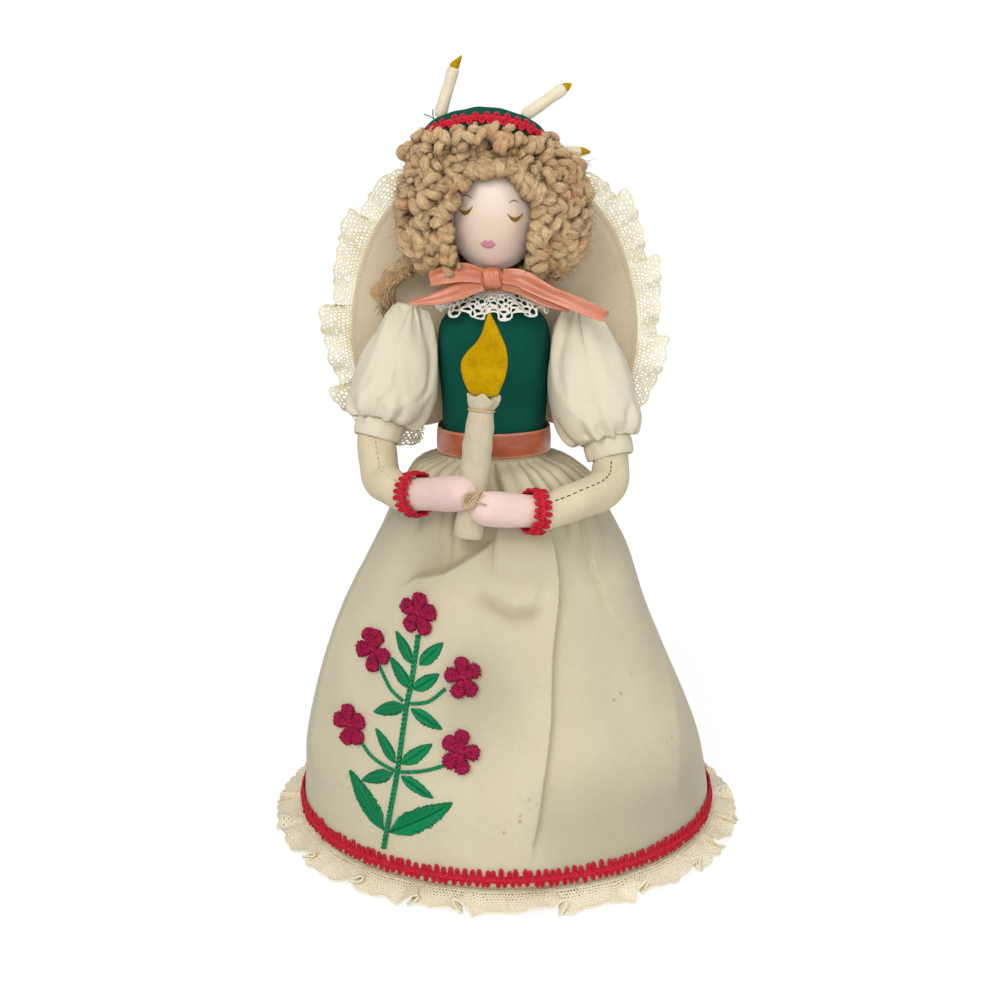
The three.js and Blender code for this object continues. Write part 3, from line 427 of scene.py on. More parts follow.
for name, (place, aim, size, power) in studio["lamps"].items():
    data = bpy.data.lights.new(name + " lamp", "AREA")
    data.shape, data.size, data.energy = "DISK", size, power
    made = placed(name + " lamp", data)
    made.location = place
    x, y, z = array(place) - (0, 0, aim)
    made.rotation_euler = (np.arctan2(np.hypot(x, y), z), 0, np.arctan2(x, -y))
camera = placed("camera", bpy.data.cameras.new("camera"))
camera.location = [v * 0.001 for v in studio["camera"]]
camera.rotation_euler = (pi / 2 - studio["pitch"], 0, 0)
camera.data.lens, camera.data.sensor_width = studio["lens"], 36
camera.data.clip_start, camera.data.clip_end = 0.01, 50
scene.camera = camera
scene.view_settings.view_transform = "Standard"
world = bpy.data.worlds.new("studio")
world.use_nodes = True
scene.world = world
ground = world.node_tree.nodes["Background"]
ground.inputs["Color"].default_value = (1, 1, 1, 1)
strength = ranged(world, seenWhite(world), 0, 1, (studio["world"], 1.0))
world.node_tree.links.new(strength, ground.inputs["Strength"])
floorMat, floorShader = finishOf("white floor", 0.9, 0, 0)
floorShader.inputs["Base Color"].default_value = (0.25, 0.25, 0.25, 1)
floorShader.inputs["Emission Color"].default_value = (1, 1, 1, 1)
away = node(floorMat, "VectorMath", (0, coords(floorMat, "Object")), operation="LENGTH").outputs["Value"]
glow = ranged(floorMat, seenWhite(floorMat), 0, 1, (0.4, ranged(floorMat, away, 0.12, 1.0, (0.82, 1.0))))
floorMat.node_tree.links.new(glow, floorShader.inputs["Emission Strength"])
floorMesh = bpy.data.meshes.new("floor")
floorMesh.from_pydata([(-6, -6, 0), (6, -6, 0), (6, 6, 0), (-6, 6, 0)], [], [(0, 1, 2, 3)])
floorMesh.materials.append(floorMat)
placed("floor", floorMesh)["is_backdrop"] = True
print("studio set")


# Skirt: the bell's radius plus gathers under the belt, broad drapes and lapped pleat edges
skirtLook = dict(columns=600, pleats=34, pleatDepth=3.0, drapes=8, drapeDepth=2.0, lapEase=(18, 14),
                 waist=160.9, waistRadius=20.95)
bellSpots = [(80.9, 20.5), (77, 41), (59.3, 88.5), (41.6, 128), (29.3, 145.2), (20.2, 150)]
bellLine = vstack([[(82.3, 0), (82.3, 6)], spline(bellSpots, 240)])
# Laps: turns in degrees, their heights, depth, side on top (-1 towards the doll's right), low and high end,
# softness
laps = [
    ((6, 6.8, 10.9, 16.5, 19.8, 24.1, 25.7), (8, 21.7, 41.9, 65.5, 88.8, 112.1, 128.5),
     2.4, -1, 12, 134, 0.4),
    ((56, 49.4, 44.2, 47.8), (84, 97.9, 112.4, 131.6), 2.0, 1, 90, 134, 0.4),
    ((-2.9, -2.1), (112, 130.2), 2.4, 1, 110, 138, 0.4),
    ((66, 53.5, 63.7, 80), (12, 30, 52.8, 75), 1.3, 1, 10, 84, 6),
    ((-62, -76), (0, 128), 1.5, -1, 26, 132, 5),
    ((112, 126), (0, 128), 1.9, 1, 10, 138, 0.4),
    ((163, 150), (0, 128), 2.1, -1, 10, 138, 0.4),
    ((-152, -140), (0, 128), 2.0, 1, 10, 138, 0.4),
    ((-108, -112), (0, 128), 1.8, -1, 10, 138, 0.4),
]
# Stains: turn in degrees, height, radius
stains = array([
    (-48.2, 34.4, 2.6), (-43.7, 30.3, 2.0), (7.6, 38.7, 1.8), (0.3, 28.3, 3.0), (57.2, 45.6, 2.2),
    (39.7, 66.4, 1.6), (28.1, 72.3, 1.3), (50.5, 74.4, 1.2), (-56.8, 78.4, 1.0), (-25, 114, 1.0),
    (4, 33, 2.2), (44, 69, 1.4), (150, 50, 3), (-120, 40, 2.5), (170, 90, 2)])


def axisX(z):  # the skirt's middle: eased over to the body's axis with height, and back below the arms
    return 2.4 * ease(z, 84, 116) * (1 - ease(z, 138, 149)) + bodyX * ease(z, 6, 80)


def stepped(off, rise, drop):  # slow exponential rise up to an edge at 0, quick fall past it
    return where(off < 0, np.exp(minimum(off, 0) / rise), np.exp(-maximum(off, 0) / drop))


def hollow(off, drop):  # past an edge: a slow fall less the quick one
    return where(off > 0, stepped(off, 1, 8) - stepped(off, 1, drop), 0)


def skirtShape(a, z):
    # radius: the bell's plus gathers with narrow valleys, cosine drapes, a stepped rise for each lap, and two
    # hanging folds in front; shade: painted shade, by how deep a spot lies in a gather, behind a lap or under
    # a fold
    a, z = np.broadcast_arrays(asarray(a, float), asarray(z, float))
    base = interp(z, bellLine[:, 1], bellLine[:, 0])
    phase = skirtLook["pleats"] * a + 1.5 * sin(3 * a + 1) + 1.3 * sin(7 * a + 2.2)
    start = 121 + 8 * sin(5 * a + 0.7) + 6 * sin(11 * a + 2)
    reach = ease((z - start) / (143 - start), 0, 1) * (1 - ease(z, 147.6, 150.4))
    valley = (0.5 - 0.5 * cos(phase)) ** 2 * (0.75 + 0.25 * sin(13 * a + 0.8))
    offset = 0.9 + skirtLook["pleatDepth"] * reach * (1 - valley)
    shade = 0.8 * ease((z - start) / (138 - start), 0, 1) * valley**1.5
    broad = ease(z, 18, 56) * (1 - ease(z, 108, 136))
    drape = 0.5 - 0.5 * cos(skirtLook["drapes"] * a + 0.6 * sin(a))
    offset = offset + skirtLook["drapeDepth"] * broad * drape
    rise, fall = skirtLook["lapEase"]
    for turns, heights, depth, side, low, high, soft in laps:
        edge = np.radians(interp(z, heights, turns))
        off = np.angle(np.exp(1j * (a - edge))) * base * -side
        tall = depth * ease(z, low, low + rise) * (1 - ease(z, high - fall, high))
        offset = offset + tall * (stepped(off, 11, soft) - 0.75 * hollow(off, soft))
        behind = where(off > 0, stepped(off, 1, 4), 0)
        shade = maximum(shade, 0.165 / (0.4 + 0.3 * soft) * tall / 2.4 * behind)
    turn = np.degrees(a)
    fold = z - interp(turn, (-42, -37.5, -23.1, -3), (108, 111.4, 115.4, 126.4))
    side = ease(turn, -50, -30) * (1 - ease(turn, -5, 0))
    offset = offset + side * (2.8 * stepped(fold, 11, 1.4) - 2.4 * hollow(fold, 1.4))
    shade = maximum(shade, 0.6 * side * where(fold > -0.6, stepped(fold, 1, 10), 0))
    cup = z - interp(turn, (-8, -1.3, 6, 12.7, 18), (108, 105, 101.6, 102.4, 106))
    pouch = ease(turn, -14, -2) * (1 - ease(turn, 12, 19))
    offset = offset + pouch * (2.2 * hump(cup, 7.5, 5) - 2.0 * hump(cup, -1.5, 3.4))
    shade = maximum(shade, 0.5 * pouch * hump(cup, -1.2, 2.6))
    return base + maximum(offset, 0.5), clip(shade, 0, 0.8)


def skirtPoint(a, z, lift=0.0):  # lift is measured along the radius
    return turned(axisX(z), skirtShape(a, z)[0] + lift, a, z)


def onSkirt(spots, lift):
    # the skirt's front at (x, z), found by repeating the turn, then moved out along the surface's normal
    x, z = spots[..., 0], spots[..., 1]
    a = np.arcsin(clip((x - axisX(z)) / 80, -1, 1))
    for _ in range(8):
        a = np.arcsin(clip((x - axisX(z)) / skirtShape(a, z)[0], -0.99, 0.99))
    wide = skirtPoint(a + 0.012, z) - skirtPoint(a - 0.012, z)
    normal = unit(np.cross(wide, skirtPoint(a, z + 0.8) - skirtPoint(a, z - 0.8)))
    return skirtPoint(a, z) + normal * asarray(lift)[..., None]


turns = linspace(-pi, pi, skirtLook["columns"], endpoint=False)
levels = np.r_[linspace(6, 98, 60), linspace(98.8, 138, 54), linspace(138.5, 150.2, 34)][:, None]
skirtGrid = skirtPoint(turns, levels)
foldPaintedShade = skirtShape(turns, levels)[1]
degrees = np.degrees(turns)
# painted shade: broad darkening of the upper skirt under the arms, down the middle and at the lower right
dim = maximum(0.3 * ease(levels, 104, 124) * (1 - ease(levels, 130, 142)),
              0.42 * hump(degrees, -5, 15) * hump(levels, 76, 20))
dim = maximum(dim, 0.42 * ease(degrees, 2, 16) * (1 - ease(degrees, 56, 84)) * (1 - ease(levels, 26, 56)))
band = array([151.2, 153, 157, skirtLook["waist"]])[:, None] + 0 * turns
bandGrid = turned(bodyX, skirtLook["waistRadius"] + 0.15 * cos(skirtLook["pleats"] * turns), turns, band)
under = skirtGrid[:1] * [0.992, 0.992, 1] + [0, 0, 0.5]
skirtFull = concatenate([under, skirtGrid, bandGrid])
away = norm(skirtFull.reshape(-1, 1, 3) - skirtPoint(np.radians(stains[:, 0]), stains[:, 1]))
# the band rows under the belt take a fixed painted shade
fold, dim = (concatenate([one[:1], one, 0.3 + 0 * band]) for one in (foldPaintedShade, dim))
skirt = piece("skirt_cloth", skirtFull, muslin, "skirt_cotton", "skirt",
              stain=hump(away, 0, stains[:, 2]).max(1), fold=fold, dim=dim)
print("skirt made")


# Embroidered sprig, in (x, z) on the skirt's front; flowers have a size and a turn, leaves a foot, a tip and
# a width
sprig = dict(
    stem=[(-45.6, 15.0), (-42.8, 30.5), (-40.1, 45.1), (-36.8, 68.1), (-35, 76.3), (-32.5, 92.9)],
    branches=[((-38.3, 69.9), (-43.4, 73.0), (-47.6, 79.0)), ((-35.5, 69.5), (-28.5, 71.5), (-22.6, 76.2)),
              ((-41, 45.3), (-49.5, 47.2), (-55.6, 52)), ((-39.4, 45.4), (-31, 47.4), (-22.5, 50.4))],
    flowers=[(-32.2, 99.9, 7.9, 0.2), (-49.5, 83.6, 7.8, 0.9), (-16.0, 80.1, 7.8, 0.45),
             (-58.4, 55.5, 7.6, 0.6), (-17.1, 55.2, 8.2, 0.1)],
    leaves=[(-35, 83, -41.1, 92, 2.1), (-32, 83.2, -23.6, 91.6, 2.2), (-35.7, 74.5, -43.3, 83, 2.2),
            (-34.2, 74.5, -25, 81, 2.2), (-37.2, 68.6, -49.4, 63, 2.1), (-35.2, 68, -23.8, 62.6, 2.1),
            (-40.9, 48, -48.5, 57.5, 2.1), (-38.6, 48.3, -27.5, 57.1, 2.2), (-41.6, 44.5, -54, 37.9, 2.1),
            (-38.7, 44.2, -27.1, 38.5, 2.1), (-45.2, 21.8, -58.9, 39.6, 3.7), (-43.6, 21.7, -20, 37.4, 4.0)])


def ply(path, lift, offset, pitch, radius, sides=6):
    # two strands twisted round one line: each is offset from it by a turning vector
    spin = 2 * pi * lengths(path) / pitch
    sideways = np.gradient(path, axis=0)
    sideways = unit(stack([-sideways[:, 1], sideways[:, 0]], 1))
    strands = [onSkirt(path + sideways * (offset * cos(spin + start))[:, None],
                       lift + offset * 0.7 * sin(spin + start)) for start in (0, pi)]
    return tubeShape(array(strands), radius, sides)


branches = [ply(spline(line, 70), 0.45, 0.3, 2.4, 0.45, 5) for line in sprig["branches"]]
piece("sprig_stems", joined(ply(spline(sprig["stem"], 230), 0.7, 0.45, 3.4, 0.6), *branches), greenFloss)

stitches = []
for *ends, width in sprig["leaves"]:
    # satin stitches: from the midrib slanting out to the leaf's edge, arched over padding
    base, tip = array(ends[:2]), array(ends[2:])
    length = norm(tip - base)
    along = (tip - base) / length
    across = array([-along[1], along[0]])
    count = int(length / 0.42)
    t = np.tile(linspace(0.02, 0.97, count), 2)
    sign = np.repeat([1.0, -1.0], count)
    far = minimum(t + 0.2 * (1 - t) + 0.02, 1)
    reach = width * sin(pi * far**0.85) ** 0.75 * (1 + 0.06 * dice.standard_normal(2 * count))
    w = linspace(0, 1, 6)
    spine = base + along * (t * length)[:, None]
    outer = base + along * (far * length)[:, None] + across * (sign * reach)[:, None]
    lines = spine[:, None] * (1 - w)[:, None] + outer[:, None] * w[:, None]
    lift = 0.1 + (0.45 + 0.12 * width) * sin(pi * (0.12 + 0.88 * w)) ** 0.7 + 0 * t[:, None]
    stitches.append(tubeShape(onSkirt(lines, lift), 0.3, 4))
piece("sprig_leaves", joined(*stitches), greenFloss)

petals = []
for x, z, size, start in sprig["flowers"]:
    # each petal is a cord doubled back on itself, wound with thread; lateral squeeze closes the loop
    way = (start + arange(5) * 2 * pi / 5 + 0.12 * dice.standard_normal(5))[:, None]
    w = linspace(0, 1, 60)
    long = size * (0.13 + 0.62 * sin(pi * w) ** 0.65)
    wide = size * 0.165 * sin(2 * pi * w) * (1.1 - 0.2 * cos(2 * pi * w))
    u, v = cos(way) * long - sin(way) * wide, sin(way) * long + cos(way) * wide
    paths = onSkirt(stack([x + u * 0.92, z + v * 1.02], -1), 1.1 + 0.5 * sin(pi * w) + 0 * way)
    rib = size * 0.172 * (1 + 0.09 * cos(2 * pi * w * 15) + 0.05 * dice.standard_normal((5, 60)))
    petals.append(tubeShape(paths, rib * 0.92, 8))
    fine = linspace(0, 59, 190)
    spin = 2 * pi * (fine / 59 * 17 + 0.3 * sin(fine / 4))[None] + dice.uniform(0, 6.28, (5, 1))
    thick = stack([interp(fine, arange(60), one) for one in rib]) * dice.uniform(0.9, 1.12, (5, 190))
    windings = coiled(stack([sampled(fine, arange(60), path) for path in paths]), thick, spin)
    petals.append(tubeShape(windings, 0.3, 4))
    heart = array([[-0.8, 0], [-0.3, 0.5], [0.4, 0.3], [0.8, -0.4]]) + [x, z]
    petals.append(tubeShape(onSkirt(heart, [1.3, 1.9, 1.9, 1.3])[None], size * 0.13, 7))
piece("sprig_flowers", joined(*petals), crimsonFloss)
print("sprig made")


def loopBraid(place, count, upper, lower, radius):
    # a row of thread loops above and below a plaited core; place(share round, height, lift) puts a point on
    # its ring
    w = linspace(0, 1, 10)
    shapes = []
    for way, height in ((1, upper), (-1, lower)):
        middle = (arange(count) + (0.5 - 0.25 * way) + 0.12 * dice.standard_normal(count))[:, None] / count
        tall = height * (1 + 0.1 * dice.standard_normal(count))[:, None]
        share = middle + 0.2 / count * sin(2 * pi * w)
        high = way * (0.5 + tall * 0.5 * (1 - cos(2 * pi * w)))
        lift = radius + 0.35 * sin(pi * w) + 0.12 * dice.standard_normal(count)[:, None]
        shapes.append(tubeShape(place(share, high, lift), radius, 5))
    t = linspace(0, 1, count * 8 + 1)
    for start in (0, 1 / 3, 2 / 3):
        turn = 2 * pi * (t * count * 0.5 + start)
        core = place(t, 0.7 * sin(turn), radius * 1.5 + 0.35 * cos(2 * turn))
        shapes.append(tubeShape(core[None], radius * 1.3, 5))
    return joined(*shapes)


hemLook = dict(loops=194, height=9.6, upper=3.1, lower=2.0, thread=0.52)


def hemPlace(share, high, lift):  # on the skirt near its hem, out along the radius
    return skirtPoint(2 * pi * share, hemLook["height"] + high, 0.15 + lift)


hemLoops = loopBraid(hemPlace, hemLook["loops"], hemLook["upper"], hemLook["lower"], hemLook["thread"])
piece("hem_loop_braid", hemLoops, redBraid, "red_braid", "hem_braid")
print("hem braid made")


def laceShape(length, width, cell, place, hole, edge):
    # honeycomb net: every cell is six squares between its outline and its hole, welded to its neighbours, its
    # hole a little off centre and uneven, pressed back to the edge curve, then carried by place(s, t)
    columns = int(round(length / cell))
    step = length / columns
    rows = int(width / (step * 0.866)) + 1
    i, j = (g.ravel() for g in np.meshgrid(arange(columns), arange(rows)))
    s, t = (i + 0.5 * (j % 2)) * step, (j + 0.5) * step * 0.866
    keep = t - 0.3 * step < edge(s)
    s, t = s[keep], t[keep]
    turn = np.radians(30 + 60 * arange(6))
    ring = stack([cos(turn), sin(turn)], 1) * step / np.sqrt(3)
    middle = stack([s, t], 1)[:, None]
    size = clip(hole(s, t) * dice.uniform(0.72, 1.22, len(s)), 0.12, 0.87)[:, None, None]
    shift = dice.uniform(-0.3, 0.3, (len(s), 1, 2)) * step * (0.9 - size) * 0.5
    flat = concatenate([middle + ring, middle + shift + ring * size], 1)
    flat[..., 1] = clip(flat[..., 1], 0, edge(flat[..., 0]))
    spots, back = np.unique(np.round(flat.reshape(-1, 2), 3), axis=0, return_inverse=True)
    back = back.reshape(-1, 12)
    after = np.roll(arange(6), -1)
    quads = stack([back[:, :6], back[:, after], back[:, 6 + after], back[:, 6:]], -1).reshape(-1, 4)
    quads = quads[[len(set(q)) == 4 for q in quads.tolist()]]
    return spots, (place(*spots.T), [quads], [spots[quads]])


def motif(look):
    # hole size: net, smaller inside a round sprig on each scallop, along the border and near the gathers,
    # larger in the row of eyelets, and uneven
    pitch, width, (net, eyelets, gathers) = look["scallop"], look["width"], look["holes"]

    def hole(s, t):  # sums of Gaussians and steps, held between two limits
        near = np.hypot((s / pitch - np.floor(s / pitch) - 0.5) * pitch, t - width * 0.62)
        solid = maximum(hump(near, 2.4, 0.9), hump(near, 0, 0.6))
        border = ease(t, width * 0.86, width * 0.95)
        uneven = 0.07 * sin(1.7 * s + 2.9 * t) * sin(2.3 * s - 1.1 * t)
        holes = eyelets * hump(t, width * 0.14, 0.9)
        size = clip(net + uneven + holes - 0.4 * maximum(solid, border), 0.16, 0.84)
        return size - gathers * (1 - ease(t, 2, 6))
    return hole


def lacePair(name, look, place, finish, replaces, depth, cord, body="doll"):
    # a net and a cord along its outer edge, which is half waves of a sine; depth(s, t) is how yellowed and
    # shaded (painted shade) the net is, cord gives the cord's radius and its own depth
    length, width = look["length"], look["width"]

    def edge(s):  # 0.9 of the width plus a tenth of a sine's size
        return width * (0.9 + 0.1 * np.abs(sin(pi * s / look["scallop"])))

    spots, net = laceShape(length, width, look["cell"], place, motif(look), edge)
    netPiece = piece(name + "_net", net, finish, "lace", replaces, body, depth=depth(*spots.T))
    s = linspace(0, length, int(length / 0.9))
    shape = tubeShape(place(s, edge(s))[None], cord[0], 5)
    yellow = np.full(len(shape[0]), cord[1])
    cordPiece = piece(name + "_edge", shape, finish, "lace", None, body, depth=yellow)
    return thicken(netPiece, thin["lace"]), cordPiece


# Lace ruffle under the hem: flat lobes with a tight raised fold between each two
ruffle = dict(length=760.0, width=13.6, cell=1.6, scallop=7.6, holes=(0.46, 0.16, 0.0), folds=21, fold=0.17,
              inner=82.7, middle=90, girth=565)
foldDice = np.random.default_rng(5)
foldWide = foldDice.uniform(0.7, 1.3, ruffle["folds"])
foldStart = np.r_[0, np.cumsum(foldWide)] / foldWide.sum()
foldTall = foldDice.uniform(4.2, 6.2, ruffle["folds"])
foldLean = foldDice.uniform(4, 7, ruffle["folds"]) * foldDice.choice([-1, 1, 1], ruffle["folds"])


def hemRuffle(s, t):
    # strip laid out from the hem: each fold rises by a cosine and bulges by a sine while the lobes take up
    # the turn it leaves
    half = ruffle["fold"]
    turn = np.mod(s / ruffle["length"], 1 - 1e-9)
    k = clip(np.searchsorted(foldStart, turn, "right") - 1, 0, ruffle["folds"] - 1)
    wide = foldStart[k + 1] - foldStart[k]
    q, pitch = (turn - foldStart[k]) / wide, ruffle["girth"] * wide
    v = clip((q - 0.5) / half, -1, 1)
    bump = 0.5 + 0.5 * cos(pi * v)
    lobe = where(q < 0.5, minimum(q, 0.5 - half), maximum(q, 0.5 + half) - 2 * half)
    across = lobe / (1 - 2 * half) * (pitch - 3) + 1.5 + 1.5 * v + 1.2 * sin(pi * v) + foldLean[k] * bump
    share = clip(t / ruffle["width"], 0, 1.05)
    a = 2 * pi * s / ruffle["length"] + share**0.8 * (across - pitch * q) / ruffle["middle"]
    wavy = 0.5 + 0.5 * sin(2 * pi * q + 2.4 * sin(1.7 * k)) * sin(pi * q)
    z = 0.6 + 4.6 * maximum(1 - share, 0) ** 1.4 + share**1.1 * maximum(foldTall[k] * bump, 4.4 * wavy - 0.6)
    r = ruffle["inner"] + t * (0.94 - (0.16 * bump + 0.14 * wavy) * share)
    return turned(0, r, a, maximum(z, 0.5))


hemLace, hemCord = lacePair("hem_lace", ruffle, hemRuffle, creamLace, "hem_lace",
                            lambda s, t: clip(0.62 - t / 20, 0, 0.7), (0.38, 0.1))
print("hem lace made")


# Body, bodice and belt
bodySide = spline([(19, 161.7), (19.8, 178.5), (20.6, 195.3), (18, 203.8), (10.5, 208.6)], 60)
bodySide = vstack([[(19, 150.3)], bodySide, [(8, 211.8), (8, 221.3)]])
bodiceFoot = stack([np.full(10, 19), linspace(150.8, 161, 10)], 1)
bodiceSide = vstack([bodiceFoot, bodySide[1:59], [(9.6, 210.0), (8.4, 211.4)]])


def bodyGrid(line, columns, grow=0.0, wrinkle=0.0):
    # turned profile flattened front to back over the chest, with shallow slanting creases
    a = linspace(-pi, pi, columns, endpoint=False)
    r, z = line[:, :1], line[:, 1:]
    flat = 1 - 0.18 * ease(z, 161.7, 175.7) * (1 - ease(z, 203.8, 211.8))
    crease = sin(3 * a + 0.09 * z) * sin(0.21 * z + 2 * a) + 0.5 * sin(5 * a - 0.16 * z)
    r = r + grow + wrinkle * crease * (1 - 0.7 * ease(np.abs(z - 180), 16, 26))
    return turned(bodyX, r, a, z, flat)


piece("torso_pad", bodyGrid(bodySide, 48), skinCotton, "skin_cotton", "torso", fill=0.9, caps="low high")
bodice = piece("bodice_cloth", bodyGrid(bodiceSide, 160, 1.0, 0.22), greenCotton, "green_cotton", "bodice")

# Ribbons round the waist and neck
belt = dict(columns=180, radius=22.0, low=152.0, high=161.8, sway=0.12)
neckBand = dict(columns=90, radius=8.75, low=213.7, high=220.9, sway=0.05)


def ribbonBand(name, finish, replaces, columns, radius, low, high, sway):
    # closed band: an oval section carried round, thicker at its selvedges, its radius swaying a little
    a = linspace(-pi, pi, columns, endpoint=False)
    w = around(28)[:, None]
    tall = sin(w)
    z = (low + high) / 2 + (high - low) / 2 * tall + 0.35 * sin(2 * a + 1)
    thick = 0.32 + 0.12 * ease(np.abs(tall), 0.86, 0.97)
    r = radius + thick * cos(w) + sway * (sin(3 * a + 0.5) + 0.6 * sin(8 * a + tall))
    r = r + 0.25 * tall * cos(2 * a)
    grid = turned(bodyX, r, a, z)
    edge = np.broadcast_to(hump(np.abs(tall), 0.9, 0.06), r.shape)
    grid, edge = (concatenate([one, one[:1]])[::-1] for one in (grid, edge))
    return piece(name, grid, finish, "satin", replaces, selvedge=edge)


ribbonBand("belt_ribbon", satin, "waist_ribbon", **belt)
print("body made")


# Lace collar: a flared net, drooping outwards
collar = dict(length=132.0, width=14.6, cell=2.7, scallop=6.6, holes=(0.84, 0.0, 0.0), flutes=13,
              inner=8.9, reach=13.4, high=214.2, droop=6.6)


def collarPlace(s, t):
    # a cone that droops with a power of the distance out, fluted by a cosine, pressed in at the back
    a = 2 * pi * s / collar["length"] - pi
    share = clip(t / collar["width"], 0, 1.05)
    flat = where(cos(a) < 0, 1 - 0.27 * share, 1)
    flute = 1.5 * share * cos(collar["flutes"] * a + 0.5)
    z = collar["high"] - collar["droop"] * share**1.15 + flute - 1.3 * share * maximum(cos(a), 0) ** 2
    a = a + 0.045 * share * sin(2 * collar["flutes"] * a + 1)
    return turned(bodyX, collar["inner"] + collar["reach"] * share, a, z, flat)


collarNet, collarCord = lacePair("collar", collar, collarPlace, whiteLace, "collar_lace",
                                 lambda s, t: clip(0.5 - t / 20, 0, 1), (0.36, 0.0))
ribbonBand("neck_band", bowSatin, "neck_ribbon", **neckBand)

# Bow: strips of ribbon, each with its line, the way it faces at both ends, its widths at equal steps, curl,
# fold across it, and depth of the zigzag at its cut end
bow = dict(
    right=[([(-9.4, -14.6, 220.6), (-16, -17.2, 222.2), (-23, -18.2, 221.4), (-28.6, -17.4, 219.6)],
            ((0, -1, 0.25), (-0.2, -1, 0.45)), (5.4, 7.4, 7.0, 5.2), 0.9, 0.3, 0.0),
           ([(-28.6, -17.2, 219.6), (-22, -15.4, 219.6), (-14, -14.2, 218.8), (-8, -13.4, 218.6)],
            ((0, -1, -0.1), (0, -1, 0)), (5.0, 6.0, 6.0, 5.0), 0.3, 0.0, 0.0),
           ([(-9.2, -14.8, 217.4), (-17, -18.2, 215.6), (-25, -19.2, 213.2), (-36.5, -18.4, 210.8)],
            ((0, -1, 0.35), (-0.1, -0.9, 0.7)), (4.2, 6.2, 5.0, 0.8), 0.9, -0.35, 0.0)],
    left=[([(-1.8, -14.6, 220.6), (5, -17.4, 220.0), (15.3, -20.6, 215.0), (25, -23.4, 211.4),
            (36, -25, 206.9)],
           ((0, -1, 0.2), (0.15, -0.85, 0.8)), (5.4, 7.0, 5.6, 6.4, 5.6), 0.8, 0.35, 2.2),
          ([(-1.8, -14.4, 217.6), (6, -16.6, 215.8), (15, -19.4, 211.6), (23, -21.8, 208.8)],
           ((0, -1, -0.2), (0, -1, 0.2)), (4.0, 4.8, 4.4, 1.6), -0.5, 0.4, 0.0)])


def ribbonStrip(path, face, wide, curl, fold, cut, rows=70, cols=26):
    # strip carried along a path: across is tangent x face, its section bows and may double over by a sine
    line = spline(path, rows)
    tangent = unit(np.gradient(line, axis=0))
    share = linspace(0, 1, rows)[:, None]
    normal = unit(asarray(face[0]) * (1 - share) + asarray(face[1]) * share)
    across = unit(np.cross(tangent, normal))
    normal = np.cross(across, tangent)
    v = linspace(-1, 1, cols)
    end = cut * (np.abs((v * 2.2 + 0.3) % 1 - 0.5) * 2 - 0.5)
    width = interp(share, linspace(0, 1, len(wide)), wide)
    bent = curl * (1 - v**2) * (0.4 + share)
    bent = bent + fold * sin(1.5 * pi * v + 2 * share) * (0.3 + 0.7 * sin(pi * share))
    grid = line[:, None] + across[:, None] * (v * width / 2)[..., None]
    grid = grid + normal[:, None] * (bent * width / 8)[..., None]
    grid = grid + tangent[:, None] * (end * share**6)[..., None]
    return gridShape(grid, ring=False), np.broadcast_to(hump(np.abs(v), 0.9, 0.07), (rows, cols)).ravel()


for name, strips in bow.items():
    shapes, edges = zip(*(ribbonStrip(*strip) for strip in strips))
    tail = piece(name + "_tail_ribbon", joined(*shapes), bowSatin, "satin", name + "_bow_tail",
                 selvedge=concatenate(edges))
    thicken(tail, thin["ribbon"])

# Knot: squarish ball with upright folds, ribbed by a cosine across
a = linspace(-pi, pi, 72, endpoint=False)
e = linspace(-0.5, 0.5, 40)[:, None] * pi
x, y, z = boxed(cos(e) * sin(a), 0.7), boxed(-cos(e) * cos(a), 0.7), boxed(sin(e), 0.75) + 0 * a
rib = 1 + 0.1 * cos(11 * x + 1.5 * z) * np.abs(cos(e))
x = -5.7 + 4.9 * x * rib * (1 - 0.14 * (1 - z**2))
knotGrid = stack([x, -13.1 + 3.4 * y * rib, 219.8 + 3.9 * z], -1)
piece("bow_knot_ribbon", knotGrid, bowSatin, "satin", "bow_knot", fill=0.5,
      selvedge=hump(x, -9.2, 0.3) + hump(x, -2.2, 0.3))
print("collar and bow made")


# Head: an egg with a stitched face; each eye has its place, tilt, and its brow's place
headLook = dict(middle=(bodyX, -2, 242.1), radius=17.6, half=20.5, mouth=(-7.1, 233.0),
                eyes=((-15.3, 244.8, 0.5, -15.0, 249.4), (2.8, 242.5, 0.0, 2.4, 247.7)))
headX, headY, headZ = headLook["middle"]


def onFace(spots, lift):
    # the front of the egg at (x, z), moved out by lift along its own normal
    x, z = spots[..., 0], spots[..., 1]
    up = (z - headZ) / headLook["half"]
    r = headLook["radius"] * (1 - 0.05 * up) * np.sqrt(1 - up**2)
    y = -np.sqrt(maximum(r**2 - (x - headX) ** 2, 0))
    normal = unit(stack([x - headX, y, up * headLook["radius"] * 0.86], -1))
    return stack([x, headY + y, z], -1) + normal * asarray(lift)[..., None]


